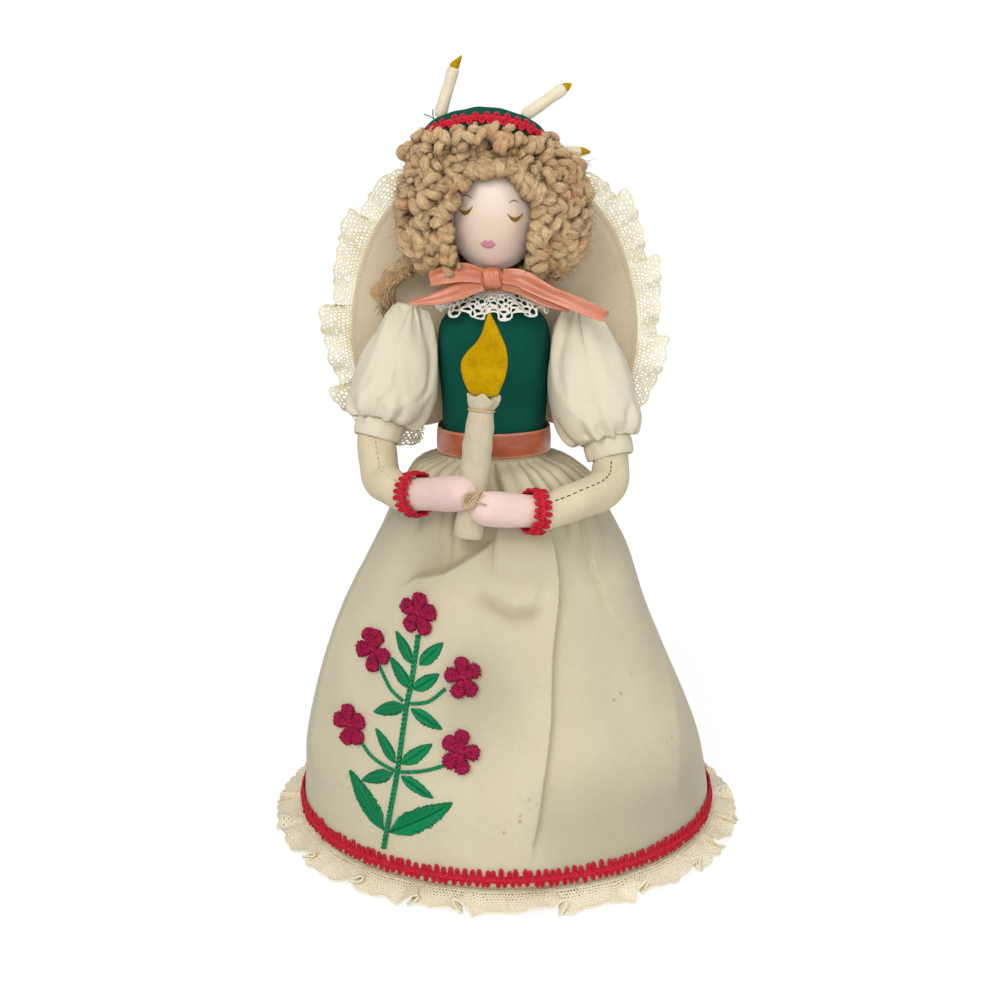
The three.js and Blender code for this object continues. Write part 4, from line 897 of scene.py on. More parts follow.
a = linspace(-pi, pi, 110, endpoint=False)
e = linspace(-0.5, 0.5, 70)[:, None] * pi
r = headLook["radius"] * (1 - 0.05 * sin(e)) * cos(e) * (1 + 0.006 * sin(7 * a + 4 * e))
headGrid = turned(headX, r, a, headZ + headLook["half"] * sin(e), y=headY)
piece("head_pad", headGrid, skinCotton, "skin_cotton", "head", fill=0.95)
u = linspace(-0.97, 0.97, 21)[:, None]
arch = 1 - u[:, 0] ** 2
w = linspace(0, 1, 6)
eyes = []
for x, z, tilt, browX, browZ in headLook["eyes"]:
    # closed lid: upright stitches between two parabolas that meet at the corners; brow: one arched thread
    lid = stack(np.broadcast_arrays(x + 2.7 * u, z + 1.2 + tilt * u - (1.35 + 1.6 * w) * (1 - u**2)), -1)
    eyes.append(tubeShape(onFace(lid, 0.06 + 0.12 * sin(pi * w) + 0 * u), 0.19, 5))
    brow = stack([browX + 1.9 * u[:, 0], browZ - 0.3 + 1.05 * arch], 1)
    eyes.append(tubeShape(onFace(brow, 0.06 + 0 * arch)[None], 0.09 + 0.1 * arch, 5))
piece("eye_stitches", joined(*eyes), brownFloss)
v = linspace(-1, 1, 13)[:, None]
w = linspace(0, 1, 7)
mouthX, mouthZ = headLook["mouth"]
top = mouthZ + 1.35 * (1 - v**2) ** 0.5 * (0.68 + 0.32 * cos(2 * pi * np.abs(np.abs(v) - 0.45)))
low = mouthZ - 0.2 - 1.6 * (1 - v**2) ** 0.6
lips = stack(np.broadcast_arrays(mouthX + 2.5 * v, top * (1 - w) + low * w), -1)
piece("mouth_stitches", tubeShape(onFace(lips, 0.03 + 0.2 * sin(pi * w) + 0 * v), 0.28, 5), lipFloss)
print("head made")


# Crown's ring, tilted up at the front, and its candles, which the hair leaves free: foot, direction, bend and
# length of the tip
crown = dict(middle=(-9, 4.4, 263.7), wide=23.5, deep=24, tilt=-36, bandHalf=(2.3, 4.2),
             loops=42, loopHigh=1.8, thread=0.54, braidOut=2.4, braidHigh=-2.0)
candles = [((-24.5, -6.168, 279.845), (0.3, 0, 0.95), (1.4, -0.6), 1.0),
           ((7.5, -5.399, 279.287), (0.83, 0.05, 0.56), (0.3, 0.4), 0.6),
           ((12.5, 16.265, 263.547), (1, 0.26, 0.08), (0.6, 0.8), 0.9),
           ((-26, 21.832, 259.502), (0.36, -0.12, 0.92), (-0.4, 0.5), 0.8)]
tilt = np.radians(crown["tilt"])
tiltTurn = array([[1, 0, 0], [0, cos(tilt), -sin(tilt)], [0, sin(tilt), cos(tilt)]])


def crownPlace(share, high, out):  # ellipse grown by out, at a height along its own axis, then tilted
    a = 2 * pi * share
    x, y = (crown["wide"] + out) * sin(a), -(crown["deep"] + out) * cos(a)
    return stack(np.broadcast_arrays(x, y, high), -1) @ tiltTurn.T + crown["middle"]


# Hair: ringlets of thick wool, each one strand wound round a bowed line, over a cap darkened with painted
# shade
hairLook = dict(curls=300, rim=24, fuzz=7000, wide=37.5, front=24, back=20, rise=32.5, drop=26, power=2.85,
                sunk=4.6, slope=3.6)
ringlet = dict(points=84, coil=(1.3, 2.0), strand=(1.6, 2.1), pitch=(3.4, 4.2), long=(9, 17))
faceWindow = dict(x=-5.5, z=238, wide=14.2, tall=19.4)


def hairFront(z):  # depth in front, less above the forehead
    return hairLook["front"] - hairLook["slope"] * ease(z, 246, 264)


def hairPoint(turn, up, grow):
    # rounded box: sines and cosines to a power, deeper in front than behind
    parts = cos(up) * sin(turn), -cos(up) * cos(turn), sin(up)
    x, y, z = (boxed(part, 2 / hairLook["power"]) for part in parts)
    tall = headZ + z * (where(z < 0, hairLook["drop"], hairLook["rise"]) + grow)
    deep = where(y < 0, hairFront(tall), hairLook["back"]) + grow
    return stack([headX + x * (hairLook["wide"] + grow), headY + y * deep, tall], -1)


def hairLevel(points):  # 1 on the rounded box, less inside it
    d = points - array(headLook["middle"])
    deep = where(d[..., 1] < 0, hairFront(points[..., 2]), hairLook["back"])
    tall = where(d[..., 2] < 0, hairLook["drop"], hairLook["rise"])
    size = stack(np.broadcast_arrays(hairLook["wide"], deep, tall), -1)
    return ((np.abs(d) / size) ** hairLook["power"]).sum(-1) ** (1 / hairLook["power"])


def faceOpen(p, grow):  # below 1 inside the face's window, at the front
    x = (p[..., 0] - faceWindow["x"]) / (faceWindow["wide"] + grow)
    z = (p[..., 2] - faceWindow["z"]) / (faceWindow["tall"] + grow)
    return where(p[..., 1] < 2, x**2 + z**2, 9)


def clearFace(p, grow):  # points inside the window move straight out to its rim
    out = 1 / np.sqrt(clip(faceOpen(p, grow), 0.05, 1))
    middle = array([faceWindow["x"], 0, faceWindow["z"]])
    return middle + (p - middle) * stack([out, np.ones_like(out), out], -1)


def napeShare(turn, up):  # 1 behind the head and below the crown
    return ease(np.abs(turn), 1.7, 2.3) * (1 - ease(up, -0.05, 0.45))


def fromNeck(p):  # distance from the neck's axis
    return np.hypot(p[:, 0] - headX, p[:, 1] - headY)


def spread(low, high, shape):  # one random value for each curl, as a column
    return dice.uniform(low, high, shape)[:, None]


turn, up = np.meshgrid(linspace(-pi, pi, 96), linspace(-1.45, 1.5, 48))
cap = hairPoint(turn, up, -5.6 + 3.4 * napeShare(turn, up) + 0.8 * sin(9 * turn) * sin(8 * up))
points, faces, uvs = gridShape(cap, ring=False)
middle = points[faces[0]].mean(1)
keep = (faceOpen(middle, 2.0) > 1) & ~((middle[:, 2] < 224) & (fromNeck(middle) < 13))
# the cap's deep mark is painted shade, as dark as the gaps between the curls
piece("hair_cap", (points, [faces[0][keep]], [uvs[0][keep]]), curlYarn, "yarn", "hair",
      deep=np.full(len(points), 0.7))

# Roots: spread evenly over the box by the golden angle, a row along the hairline and rows before and behind
# the crown
number = arange(hairLook["curls"])
up = np.arcsin(1 - 2 * (number + 0.5) / len(number))
turn = np.angle(np.exp(1j * number * 2.39996))
sunk = hairLook["sunk"] + dice.uniform(-1.3, 1.6, len(number))
root = hairPoint(turn, up, 3.2 * napeShare(turn, up) - sunk)
outward = unit(hairPoint(turn, up, 1.0) - hairPoint(turn, up, -1.0))
good = (faceOpen(root, 4.5) > 1) & ~((root[:, 2] < 222) & (fromNeck(root) < 20))
turn = linspace(-0.45, pi + 0.45, hairLook["rim"]) + 0.04 * dice.standard_normal(hairLook["rim"])
rim = stack([faceWindow["x"] + (faceWindow["wide"] + 3.4) * cos(turn),
             -19.4 + 3.0 * maximum(sin(turn), 0) ** 2,
             faceWindow["z"] + (faceWindow["tall"] + 3.4) * sin(turn)], 1)
rimOut = unit(stack([0.35 * cos(turn), -np.ones(len(turn)), 0.35 * sin(turn)], 1))
share = np.r_[linspace(-0.22, 0.22, 17), linspace(0.38, 0.62, 9)]
behind = share > 0.3
ends = ease(np.abs(share), 0.08, 0.22) * ~behind
below = -7.4 + 5.4 * ends - 1.6 * behind
lap = crownPlace(share, below, 0.6 + 4.0 * ends - 3.4 * behind)
lapOut = unit(lap - crownPlace(share, below, -6.0) + np.outer(where(behind, 3.0, -3.0), [0, 1, 0]))
root, outward = vstack([root[good], rim, lap]), vstack([outward[good], rimOut, lapOut])
count = len(root)
inLap = arange(count) >= count - len(share)

# Each curl's line: down and swung to a side, bowed out, swaying, and kept clear of the face
down = unit(array([0, 0, -1.0]) + outward * outward[:, 2:] + 1e-3)
swing = dice.uniform(-1.1, 1.1, count) + where(inLap, where(dice.random(count) < 0.5, 0.9, -0.9), 0)
swing = swing[:, None]
curlWay = unit(down * cos(swing) + np.cross(outward, down) * sin(swing))
curlSide = np.cross(outward, curlWay)
long = where(inLap, dice.uniform(8, 12, count), dice.uniform(*ringlet["long"], count))[:, None]
w = linspace(0, 1, ringlet["points"])
bowOut = (1.8 * sin(pi * w) - 1.1) * where(inLap, 0.5, 1)[:, None]
sway = spread(-2.2, 2.2, count) * sin(2 * pi * w + spread(-1, 1, count))
spine = root[:, None] + curlWay[:, None] * ((w - 0.42) * long)[..., None]
spine = spine + outward[:, None] * bowOut[..., None] + curlSide[:, None] * sway[..., None]
spine = clearFace(spine, spread(1.2, 3.0, count))

# Curls that would run into the crown's ring or a candle are left out
local = (spine - crown["middle"]) @ tiltTurn
free = (np.hypot(np.hypot(local[..., 0], local[..., 1]) - crown["wide"], local[..., 2]).min(1) > 5.2) | inLap
for foot, way, _, _ in candles:
    way = unit(array(way))
    along = clip((spine - foot) @ way, 0, 23)
    free &= (norm(spine - foot - along[..., None] * way) - 0.12 * along).min(1) > 6.6
spine, long, outward = spine[free], long[free], outward[free]
count = len(spine)
hand = where(dice.random(count) < 0.6, 1.0, -1.0)[:, None]
spin = hand * 2 * pi * (w - 0.5) * long / spread(*ringlet["pitch"], count) + spread(0, 6.28, count)
spin = spin + 0.5 * sin(9 * w + spread(0, 6.28, count))
plump = sin(pi * (0.08 + 0.86 * w)) ** 0.4 * clip(minimum(w, 1 - w) / 0.03, 0.06, 1) ** 0.5
coil = spread(*ringlet["coil"], count) * plump * (1 + 0.18 * sin(5 * w + spread(0, 6.28, count)))
yarnRadius = spread(*ringlet["strand"], count) * plump * (1 + 0.12 * sin(1.7 * spin + 1))
yarnPaths = coiled(spine, coil, spin)
depth = spine[:, ringlet["points"] // 2, 1]
for name, low, high in (("front", -99, -12), ("middle", -12, 5), ("back", 5, 99)):
    # deep mark: painted shade, by how far below the hair's outline, or how far round to the inner side of the
    # coil
    mine = (depth >= low) & (depth < high)
    shape = tubeShape(yarnPaths[mine], yarnRadius[mine], 7)
    off = shape[0].reshape(-1, ringlet["points"], 7, 3) - spine[mine][:, :, None]
    shown = (off * outward[mine][:, None, None]).sum(-1) / (coil + yarnRadius)[mine][..., None]
    inner = 0.75 * (1 - ease(shown, -0.6, 0.75)).ravel()
    deep = clip(((1 - hairLevel(shape[0])) * hairLook["front"] - 1.6) / 8, 0, 0.88)
    piece("curls_" + name, shape, curlYarn, "yarn", deep=maximum(deep, inner))

# Fuzz: fine fibres that leave the curls and bend
fuzz = hairLook["fuzz"]
pick = dice.choice(np.flatnonzero(~inLap[free]), fuzz), dice.integers(4, 80, fuzz)
away = unit(yarnPaths[pick] - spine[pick] + 0.8 * dice.standard_normal((fuzz, 3)))[:, None]
bend = dice.standard_normal((fuzz, 3))[:, None]
w = linspace(0, 1, 5)[None, :, None]
reach = dice.uniform(1.0, 3.4, fuzz)[:, None, None]
fibres = yarnPaths[pick][:, None] + away * yarnRadius[pick][:, None, None] * 0.9
shape = tubeShape(clearFace(fibres + reach * (away * w * 0.8 + 0.5 * bend * w**2), 0.5), 0.08, 3)
piece("hair_fuzz", shape, curlYarn, "yarn", deep=np.zeros(len(shape[0])))

# The longer, smoother lock behind the doll's right shoulder: wavy strands spread round one line
lock = dict(strands=110, wide=6.2,
            line=[(-34, 8, 228), (-41, 11.4, 220), (-47.5, 13.4, 211), (-48.5, 13, 201.5)])
lockLine = spline(lock["line"], 60)
w = linspace(0, 1, 60)
strands = []
for k in range(lock["strands"]):
    at = w * dice.uniform(0.72, 1.0)
    turn = 2.4 * k + 2.2 * at
    r = lock["wide"] * np.sqrt((k + 0.5) / lock["strands"]) * (1 - 0.5 * ease(at, 0.5, 1))
    r = r * (0.8 + 0.2 * sin(11 * at + k))
    wave = 1.3 * sin(17 * at + 0.8 * cos(2.4 * k))
    off = stack([r * cos(turn) + wave, r * sin(turn) * 0.7, 1.2 * cos(13 * at + sin(2.4 * k))], 1)
    strands.append(sampled(at, w, lockLine) + off)
outer = tubeShape(array(strands), 0.42 * (1 - 0.7 * ease(w, 0.7, 1)), 4)
core = tubeShape(lockLine[None], 3.8 * (1 - 0.95 * ease(w, 0.35, 0.95)), 12)
# the lock's core has a deep mark as painted shade inside the strands
piece("long_lock", joined(outer, core), curlYarn, "yarn", "hair_lock",
      deep=np.repeat([0.0, 0.4], [len(outer[0]), len(core[0])]))
print("hair made:", count, "curls")


# Crown: padded ring, red loop braid, cloth candles with felt tips
share = linspace(0, 1, 150, endpoint=False)
w = around(26)[:, None]
lump = 1 + 0.05 * sin(34 * pi * share) * cos(2 * w) + 0.04 * sin(14 * pi * share + w)
halfThick, halfTall = crown["bandHalf"]
ring = crownPlace(share, halfTall * boxed(sin(w), 0.75) * lump, halfThick * boxed(cos(w), 0.75) * lump)
ring = concatenate([ring, ring[:1]])[::-1]
piece("crown_pad", ring, greenCotton, "green_cotton", "crown_band", fill=0.7)


def crownLoops(share, high, lift):  # round the ring's outside, low on it
    return crownPlace(share, crown["braidHigh"] + high, crown["braidOut"] + lift)


loops = loopBraid(crownLoops, crown["loops"], crown["loopHigh"], crown["loopHigh"], crown["thread"])
piece("crown_loop_braid", loops, redBraid, "red_braid", "crown_braid")
threads = array([[(-0.13, 4.2, 1.0), (-0.138, 5.8, 2.2), (-0.146, 6.6, 4)],
                 [(-0.13, 4.2, 1.0), (-0.132, 6.4, 1.6), (-0.128, 8, 2)]])
piece("crown_thread_ends", tubeShape(crownPlace(*np.moveaxis(threads, -1, 0)), 0.22, 5), greenFloss)
stickLine = [(0.05, -2.3), (1.5, -1.9), (2.2, 0), (2.3, 3), (2.15, 8), (2.2, 13), (2.1, 15.8), (1.5, 16.5)]
stickLine = spline(stickLine, 60)
tipLine = spline([(1.5, 0), (1.65, 1.1), (1.35, 2.5), (0.85, 3.9), (0.4, 4.9), (0.05, 5.4)], 22)


def standFrame(way):  # a direction and two vectors square to it, the first to the viewer's right
    way = unit(asarray(way, float))
    right = unit(np.cross(array([0, 1.0, 0]), way))
    return way, right, np.cross(way, right)


def rolledCandle(foot, way, line, columns, wrinkle, seed):
    # turned profile with slanting wrinkles and one lapped seam down its side
    way, right, back = standFrame(way)
    a = around(columns)
    r, z = line[:, :1], line[:, 1:]
    crease = sin(2 * a + 0.9 * z + seed) + 0.7 * sin(3 * a - 0.55 * z + 2 * seed)
    crease = crease + 0.5 * sin(5 * a + 0.31 * z)
    lap = where((a > 4.2) & (a < 4.9), (a - 4.2) / 0.7, 0)
    r = r * (1 + wrinkle * crease + 0.06 * lap * (r > 0.5))
    return ringed(asarray(foot), right, back, r, a) + way * (z + 0 * a)[..., None]


for k, (foot, way, bent, tall) in enumerate(candles, 1):
    cap = dict(body="crown_taper_%d" % k, caps="low high")
    stick = rolledCandle(foot, way, stickLine, 26, 0.03, k)[:, ::-1]
    stickName = "crown_candle_%d" % k
    piece(stickName + "_cloth", stick, crownCotton, "candle_cotton", stickName, fill=0.8, **cap)
    axis, right, back = standFrame(way)
    felt = rolledCandle(foot, way, tipLine * [1, tall] + [0, 16.2], 18, 0.05, k + 4)
    lean = ease((felt - asarray(foot)) @ axis, 17, 22)[..., None]
    felt = (felt + lean * (right * bent[0] + back * bent[1]))[:, ::-1]
    piece("crown_flame_%d_felt" % k, felt, yellowFelt, "felt", "crown_flame_%d" % k, fill=0.7, **cap)
print("crown made")


# Held candle with a frilled rim, felt flame
held = dict(foot=(-14.5, -49.99, 129.0), way=(0.11, 0.155, 1), flameFoot=52.8)
heldWay, heldRight, heldBack = standFrame(held["way"])
heldLine = spline([(0.05, 0.6), (3.2, 0.2), (5.0, 0.4), (5.5, 3), (5.1, 9), (5.2, 17), (5.5, 25), (5.4, 34),
                   (5.1, 41), (4.7, 45.6), (4.2, 47.2), (5.2, 49), (6.1, 51.2), (5.7, 52), (4.3, 51.4),
                   (2.4, 50), (0.05, 49.6)], 170)
a = around(64)
heldGrid = rolledCandle(held["foot"], held["way"], heldLine, len(a), 0.022, 2.3)
rim = ease(heldLine[:, 1:], 47.4, 50.5) * (heldLine[:, :1] > 3)
heldGrid = heldGrid + heldWay * (rim * (0.9 * sin(3 * a + 0.4) + 0.5 * sin(7 * a)))[..., None]
axis = asarray(held["foot"]) + heldWay * heldLine[:, 1:][..., None]
heldGrid = heldGrid + (heldGrid - axis) * (rim * 0.09 * sin(5 * a + 1))[..., None]
piece("held_candle_cloth", heldGrid[:, ::-1], candleCotton, "candle_cotton", "held_candle", "arms", 0.6)

# Flame: a felt cut-out, its outline an S-curved drop, with rounded rims
flame = dict(wide=16.4, tall=29.6, thick=2.3)
flameSpots = [(-0.27, 0.0), (-0.42, 0.1), (-0.54, 0.26), (-0.55, 0.38), (-0.45, 0.5), (-0.28, 0.62),
              (-0.18, 0.74), (-0.13, 0.87), (-0.07, 1.0), (0.05, 0.92), (0.22, 0.77), (0.38, 0.61),
              (0.46, 0.45), (0.46, 0.3), (0.4, 0.14), (0.29, 0.0), (0, -0.02)]
flameEdge = spline(flameSpots, 141, ring=True)[:-1] * [flame["wide"], flame["tall"]]
middle = array([0.0, flame["tall"] * 0.4])
w = linspace(0, pi, 26)[:, None]
flat = middle + (flameEdge - middle) * (sin(w) ** 0.25)[..., None]
thick = clip(-cos(w), -0.96, 0.96) * flame["thick"] / 2 + 0.5 * sin(flat[..., 1] / 6)
flameFoot = array(held["foot"]) + heldWay * held["flameFoot"]
flameGrid = flameFoot + heldRight * flat[..., :1] + heldWay * flat[..., 1:] + heldBack * thick[..., None]
piece("held_flame_felt", flameGrid, yellowFelt, "felt", "held_flame", "arms", 0.2)
print("candle made")


drape = dict(scale=0.01, steps=30, limit=3.4, grow=0.22, pressure=2.5)


def draped(grid, rows):
    # cloth simulation at ten times the size: a tube whose held rows stay put while the rest has too much
    # cloth and is blown out a little; the moves are eased off at a limit by a hyperbolic tangent
    points, faces, _ = gridShape(grid)
    mesh = bpy.data.meshes.new("drape")
    mesh.from_pydata((points * drape["scale"]).tolist(), [], faces[0].tolist())
    made = placed("drape", mesh)
    index = arange(len(points)).reshape(grid.shape[:2])
    made.vertex_groups.new(name="held").add(index[rows].ravel().tolist(), 1.0, "REPLACE")
    cloth = made.modifiers.new("cloth", "CLOTH")
    rules = cloth.settings
    rules.quality, rules.mass, rules.vertex_group_mass = 6, 0.15, "held"
    rules.tension_stiffness = rules.compression_stiffness = 12
    rules.shear_stiffness, rules.bending_stiffness, rules.shrink_min = 4, 0.25, -drape["grow"]
    rules.use_pressure, rules.uniform_pressure_force = True, drape["pressure"]
    rules.effector_weights.gravity = 0.35
    cloth.point_cache.frame_start, cloth.point_cache.frame_end = 1, drape["steps"]
    for step in range(1, drape["steps"] + 1):
        scene.frame_set(step)
    ready = made.evaluated_get(bpy.context.evaluated_depsgraph_get())
    moved = array([v.co for v in ready.data.vertices]) / drape["scale"] - points
    bpy.data.objects.remove(made)
    bpy.data.meshes.remove(mesh)
    scene.frame_set(1)
    far = norm(moved)[:, None]
    moved = moved * drape["limit"] * np.tanh(far / drape["limit"]) / maximum(far, 1e-6)
    return grid + moved.reshape(grid.shape)


# Arms: puffed sleeve, cuff, bent forearm, loop braid and mitten on each side
sides = dict(
    right=dict(way=-1, cuff=(-48, -13.5, 165.75), shoulder=(-37.7, -0.5, 203.3), seed=1.3, stitches=13,
               thread=tanThread, wrist=(-34, -38.49, 142.8), tip=(-13.3, -55.54, 147.4),
               bend=[(-47.5, -26.2, 146.8), (-43.75, -32.34, 144.4), (-37.46, -35.64, 142.03)]),
    left=dict(way=1, cuff=(38, -13.5, 158.75), shoulder=(27.7, -0.5, 203.3), seed=4.1, stitches=15,
              thread=darkThread, wrist=(10, -47.52, 138.6), tip=(-12.2, -56.34, 142.2),
              bend=[(37.5, -26.2, 143), (26.75, -37.37, 140.4), (14.18, -45.86, 137.92)]))
armLook = dict(cuffRadius=8.45, cuffThick=0.95, cuffHalf=3.75,
               wristRadius=7.0, loops=19, loopHigh=2.7, thread=0.56)
# Sleeve's radius against its share of the length; forearm's radius against its share
puffLine = [(13.6, 0.09), (15.9, 0.25), (16.2, 0.45), (14.6, 0.68), (10.6, 0.9), (7.4, 0.98), (4.6, 1)]
limbShare = (0, 0.02, 0.06, 0.36, 0.46, 0.6, 0.7, 0.8, 0.88, 0.94, 1)
limbRadius = (2.9, 5.2, 6.5, 6.5, 7.0, 7.5, 7.3, 7.1, 6.8, 6.5, 6.5)


def limbGrid(path, radius, columns, ripple):
    # circles square to a path; ripple(share, turn) is added to the radius
    side, up = (f[0][:, None] for f in frames(path[None]))
    a = around(columns)
    share = linspace(0, 1, len(path))[:, None]
    return ringed(path[:, None], side, up, radius[:, None] + ripple(share, a), a)


def stitchLine(points, normals, count, radius, lift):
    # running stitch: equal dashes along a line, each dipping into the cloth at its ends
    at = arange(count)[:, None] + linspace(0, 0.55, 6)
    index, known = at / count * (len(points) - 1), arange(len(points))
    rise = lift * sin(pi * linspace(0, 1, 6)) ** 0.6 - 0.08
    spots = sampled(index, known, points) + unit(sampled(index, known, normals)) * rise[:, None]
    return tubeShape(spots, radius, 5)


def smooth(v):  # running mean of 13
    return stack([np.convolve(np.pad(v[:, k], 6, "edge"), np.ones(13) / 13, "valid") for k in range(3)], 1)


for name, arm in sides.items():
    way, seed = arm["way"], arm["seed"]
    cuff, shoulder, wrist, tip = (array(arm[key], float) for key in ("cuff", "shoulder", "wrist", "tip"))
    axis, right, back = standFrame(shoulder - cuff)
    long = norm(shoulder - cuff) + 4

    # Sleeve: a turned puff, pleated at the cuff and at the shoulder, with soft dents between
    line = spline([(8.9, 0.2), (11.2, 1.2)] + [(r, long * share) for r, share in puffLine], 70)
    a = around(120)
    t = line[:, 1:] / long
    gather = cos(9 * a + 1.2 * sin(2 * a + seed) + seed) + 0.5 * cos(15 * a + 2 * seed)
    top = cos(6 * a + 0.8 * sin(a + seed) + 2 * seed)
    dent = sin(2 * a + 3.1 * t + seed) * sin(5.2 * t + a) + 0.6 * sin(3 * a - 5 * t + seed)
    r = line[:, :1] + 1.5 * gather * (1 - ease(t, 0.03, 0.36)) * ease(t, -0.01, 0.05)
    r = r + 1.2 * top * ease(t, 0.6, 0.94) + 0.55 * dent * sin(pi * clip(t, 0, 1))
    grid = ringed(cuff, right, back, r, a) + axis * (line[:, 1:] + 0 * a)[..., None]
    grid = draped(grid, np.r_[0:2, 67:70])[:, ::-1]
    piece(name + "_sleeve_puff", grid, sleeveMuslin, "sleeve_cotton", name + "_sleeve", "arms", 0.5, "high")

    # Cuff: a folded band, closed section carried round
    w = around(24)[:, None]
    a = around(96)
    r = armLook["cuffRadius"] + armLook["cuffThick"] * boxed(cos(w), 0.75)
    r = r + 0.12 * sin(6 * a + 2 * sin(w)) + 0.08 * sin(11 * a)
    z = -armLook["cuffHalf"] + armLook["cuffHalf"] * boxed(sin(w), 0.75) + 0.25 * sin(2 * a + seed)
    grid = ringed(cuff, right, back, r, a) + axis * z[..., None]
    cuffBand = piece(name + "_cuff_band", concatenate([grid, grid[:1]]), sleeveMuslin, "sleeve_cotton",
                     name + "_cuff", "arms")

    # Forearm: stuffed tube, creased inside the elbow, seamed with running stitch
    upper = [cuff + axis * long * 0.62, cuff + axis * long * 0.3, cuff, cuff - axis * 7.5]
    path = spline(upper + arm["bend"] + [wrist], 150)
    share = linspace(0, 1, len(path))
    bent = norm(np.gradient(np.gradient(path, axis=0), axis=0))
    bendAt = share[np.argmax(bent[60:130]) + 60]

    def creases(s, a):  # Gaussian dips at four places inside the elbow, plus a slow sine unevenness
        folds = sum(hump(s, bendAt + d, 0.011) for d in (-0.05, -0.015, 0.022, 0.06))
        uneven = 0.12 * sin(3 * a + 21 * s) + 0.1 * sin(2 * a - 37 * s)
        return -0.5 * folds * (0.35 + 0.65 * cos(a - 1.0 * way)) + uneven

    grid = limbGrid(path, interp(share, limbShare, limbRadius), 56, creases)
    piece(name + "_forearm_pad", grid, armMuslin, "skin_cotton", name + "_forearm", "arms", 0.85, "low high")
    normals = unit(grid - path[:, None])
    column = np.argmax(normals @ unit(array([0, -0.75, 0.66])), axis=1)
    seam, seamOut = (smooth(v[arange(len(path)), column])[78:146] for v in (grid, normals))
    dashes = stitchLine(seam, seamOut, arm["stitches"], 0.2, 0.3)
    piece(name + "_arm_stitches", dashes, arm["thread"], body="arms")

    # Loop braid round the wrist
    handWay, handRight, handBack = standFrame(tip - wrist)

    def wristPlace(share, high, lift):  # circle round the wrist, moved along the hand
        circle = ringed(wrist, handRight, handBack, armLook["wristRadius"] + lift, 2 * pi * share)
        return circle + handWay * high[..., None]

    high = armLook["loopHigh"]
    loops = loopBraid(wristPlace, armLook["loops"], high, high, armLook["thread"])
    piece(name + "_wrist_loops", loops, redBraid, "red_braid", name + "_wrist_braid", "arms")

    # Mitten: a stuffed tube with a round end
    t = linspace(0, 1, 60)
    palm = wrist + handWay * ((0.012 + t) * (norm(tip - wrist) + 1.2))[:, None]
    full = interp(t, (0, 0.12, 0.4, 0.62, 0.75), (6.1, 6.1, 6.35, 6.5, 6.4))
    close = np.sqrt(maximum(1 - ((t - 0.72) / 0.28) ** 2 * (t > 0.72), 0.0004))
    grid = limbGrid(palm, full * close, 44, lambda s, a: 0.12 * sin(2 * a + 9 * s) + 0.1 * sin(5 * a) * s)
    piece(name + "_mitten", grid, handCotton, "skin_cotton", name + "_hand", "arms", 0.9, "low high")

# Tie: thread wound round the two finger tips, with a knot and loose ends; another pinches the candle's rim
knotAt = array([-12.9, -60.3, 146.0])
w = linspace(0, 1, 60)[:, None]
wound = []
for k in range(5):
    turn = 2 * pi * w[:, 0] + k
    loop = stack([3.0 * cos(turn) + 0.4 * k - 0.8, 1.1 * sin(turn) + 0.4, 3.4 * sin(turn + 0.5 * k)], 1)
    wound.append(knotAt + loop * (0.75 + 0.06 * k))
for reach, sag in (([5.5, -0.4, -1.6], [0, -0.9, 0.3]), ([-2.4, -0.5, -2.8], [0.8, -0.6, 0])):
    wound.append(knotAt + w * reach + sag * sin(pi * w))
turn = linspace(0, 2 * pi * 2.2, 60)
pinch = asarray(held["foot"]) + heldWay * (47.0 + 0.25 * sin(turn / 2))[:, None]
pinch = pinch + 4.75 * (heldRight * cos(turn)[:, None] + heldBack * sin(turn)[:, None])
wound += [pinch, pinch[0] + w * [-3.4, -2.2, 0.6] + [0, -0.5, 0.8] * sin(pi * w),
          pinch[-1] + w * [3.4, -5.2, 0.4]]
piece("candle_tie_thread", tubeShape(array(wound), 0.34, 6), tanThread, "candle_cotton", "candle_tie", "arms")
print("arms made")


# Wings: padded leaves bent back over the shoulders, a stitched rim and a gathered lace on the free edge
wing = dict(root=2.6, span=54.4, low=157.0, tall=93.0, thick=5.2, deep=17.95)
wingSpots = [(0, 0.2), (0, 0.45), (0.02, 0.7), (0.2, 0.93), (0.52, 1), (0.8, 0.86), (0.97, 0.58), (0.99, 0.3),
             (0.85, 0.08), (0.52, 0), (0.2, 0.06)]
wingEdge = spline(wingSpots, 241, ring=True)[:-1] * [wing["span"], wing["tall"]] + [wing["root"], wing["low"]]
wingMiddle = array([wing["root"] + 0.5 * wing["span"], wing["low"] + 0.48 * wing["tall"]])
free = np.roll(wingEdge, -int(np.argmin(wingEdge[:, 0])), 0)[::-1]
free = free[free[:, 0] > wing["root"] + 0.46 * wing["span"]]
freeAlong = lengths(free)
freeWay = unit(np.gradient(free, axis=0))
freeOut = stack([freeWay[:, 1], -freeWay[:, 0]], 1)
freeOut = freeOut * np.sign(((free - wingMiddle) * freeOut).sum(1).mean())
length = freeAlong[-1] * 1.5
wingLook = dict(length=length, width=13.2, cell=1.8, scallop=7.0, holes=(0.7, 0.0, 0.3), flutes=4.3)


def wingPoint(way, flat, out):  # mirrored by way, leaning back with the square of the height
    x, z = flat[..., 0], flat[..., 1]
    deep = wing["deep"] + 0.0013 * maximum(z - 165, 0) ** 2 + 0.04 * x + out
    return stack([way * x + bodyX, deep, z], -1)


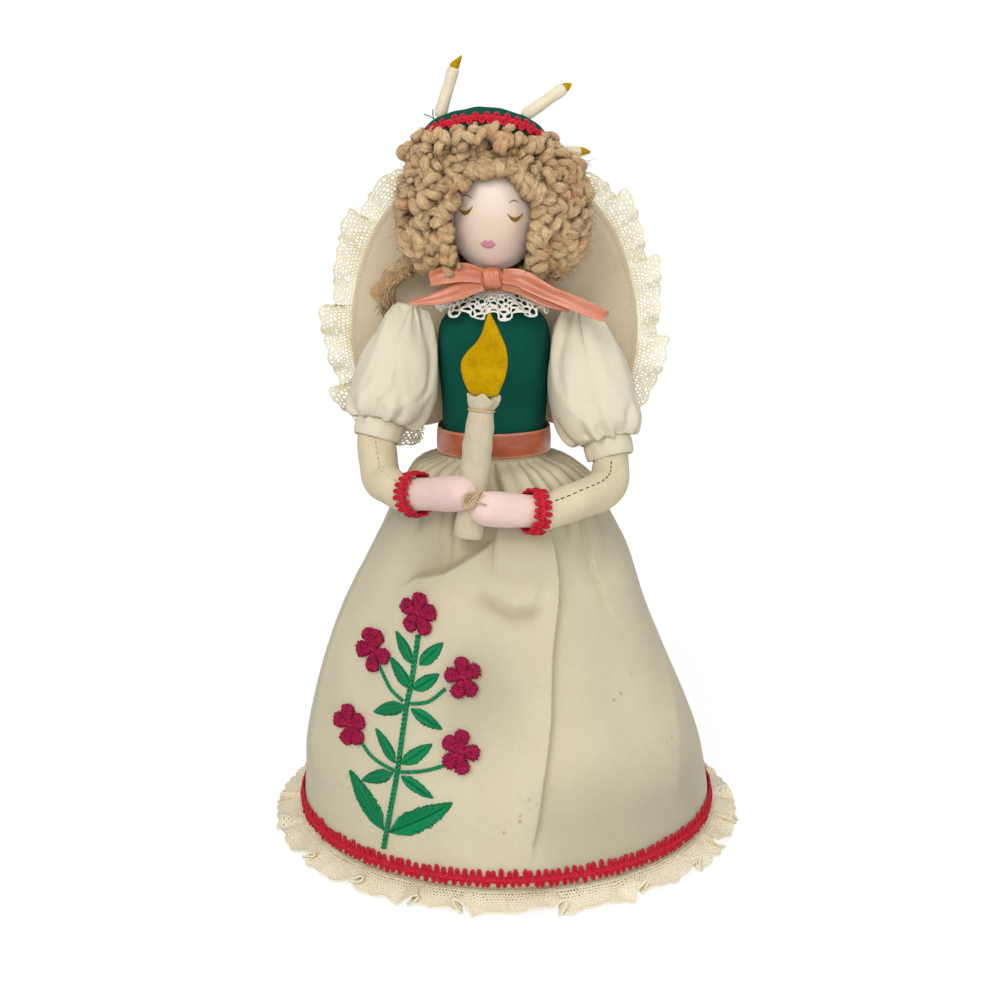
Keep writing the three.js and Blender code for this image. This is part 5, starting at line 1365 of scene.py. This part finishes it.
for name, way in (("right", -1), ("left", 1)):
    w = linspace(0.02, pi - 0.02, 52)[:, None]
    share = sin(w) ** 0.8
    out = -cos(w) * wing["thick"] / 2 * (1 - 0.55 * hump(share, 0.93, 0.025))
    flat = wingMiddle + (wingEdge - wingMiddle) * share[..., None]
    dent = 0.25 * sin(flat[..., 0] / 7 + 1.5 * way) * sin(flat[..., 1] / 11) * (1 - share)
    pucker = 0.1 * sin(arange(240) * 2 * pi * 66 / 240) * hump(share, 0.95, 0.04)
    grid = wingPoint(way, flat, out + (dent + pucker) * -np.sign(cos(w)))
    body, leaf = "wing_" + name, name + "_wing"
    piece(leaf + "_pad", grid[:, ::-way], wingCotton, "wing_cotton", leaf, body, 0.7, "low high")
    seam = grid[np.argmin(np.abs(share[:26, 0] - 0.945))]
    dashes = stitchLine(seam, np.tile([[0, -1.0, 0]], (240, 1)), 118, 0.1, 0.12)
    piece(leaf + "_stitches", dashes, tanThread, body=body)

    def wingRuffle(s, t):
        # distance along the free edge, then out from it: each flute widens and comes forward along a ramp,
        # then folds back at its tip
        at = s / length * freeAlong[-1]
        far = clip(t / wingLook["width"], 0, 1.05)
        flute = wingLook["flutes"] * s / length + (0.2 if way > 0 else 0.65)
        flute = flute + 0.13 * sin(6.8 * s / length + way)
        rest = flute - np.floor(flute)
        tip = rest * (1 - ease(rest, 0.84, 1))
        at = clip(at + far * (4.5 * tip - 1.2 + 0.8 * sin(5 * pi * rest)), 0, freeAlong[-1])
        narrow = 1 - 0.3 * (1 - ease(s / length, 0.0, 0.3)) - 0.45 * ease(s / length, 0.9, 1)
        reach = -0.8 + t * narrow * (0.66 + 0.46 * tip)
        spot = sampled(at, freeAlong, free) + unit(sampled(at, freeAlong, freeOut)) * reach[..., None]
        return wingPoint(way, spot, 0.6 + far * (2.4 - 5.4 * tip + 1.6 * sin(5 * pi * rest + way)))

    def wingDepth(s, t):  # yellowing and painted shade: falls outwards, with a cosine for each flute
        return clip(0.7 - t / 15 + 0.25 * cos(2 * pi * wingLook["flutes"] * s / length), 0, 1)

    net, cord = lacePair(leaf, wingLook, wingRuffle, wingLace, leaf + "_lace", wingDepth, (0.36, 0.0), body)
print("wings made")

# The form inside and the pin keep their own shapes
pine = feltFinish("pine", (206, 170, 120), (170, 130, 84))
for name, finish in (("bell_form", buckram), ("neck_dowel", pine)):
    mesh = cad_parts[name].data
    mesh.materials.clear()
    mesh.materials.append(finish)

low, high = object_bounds()
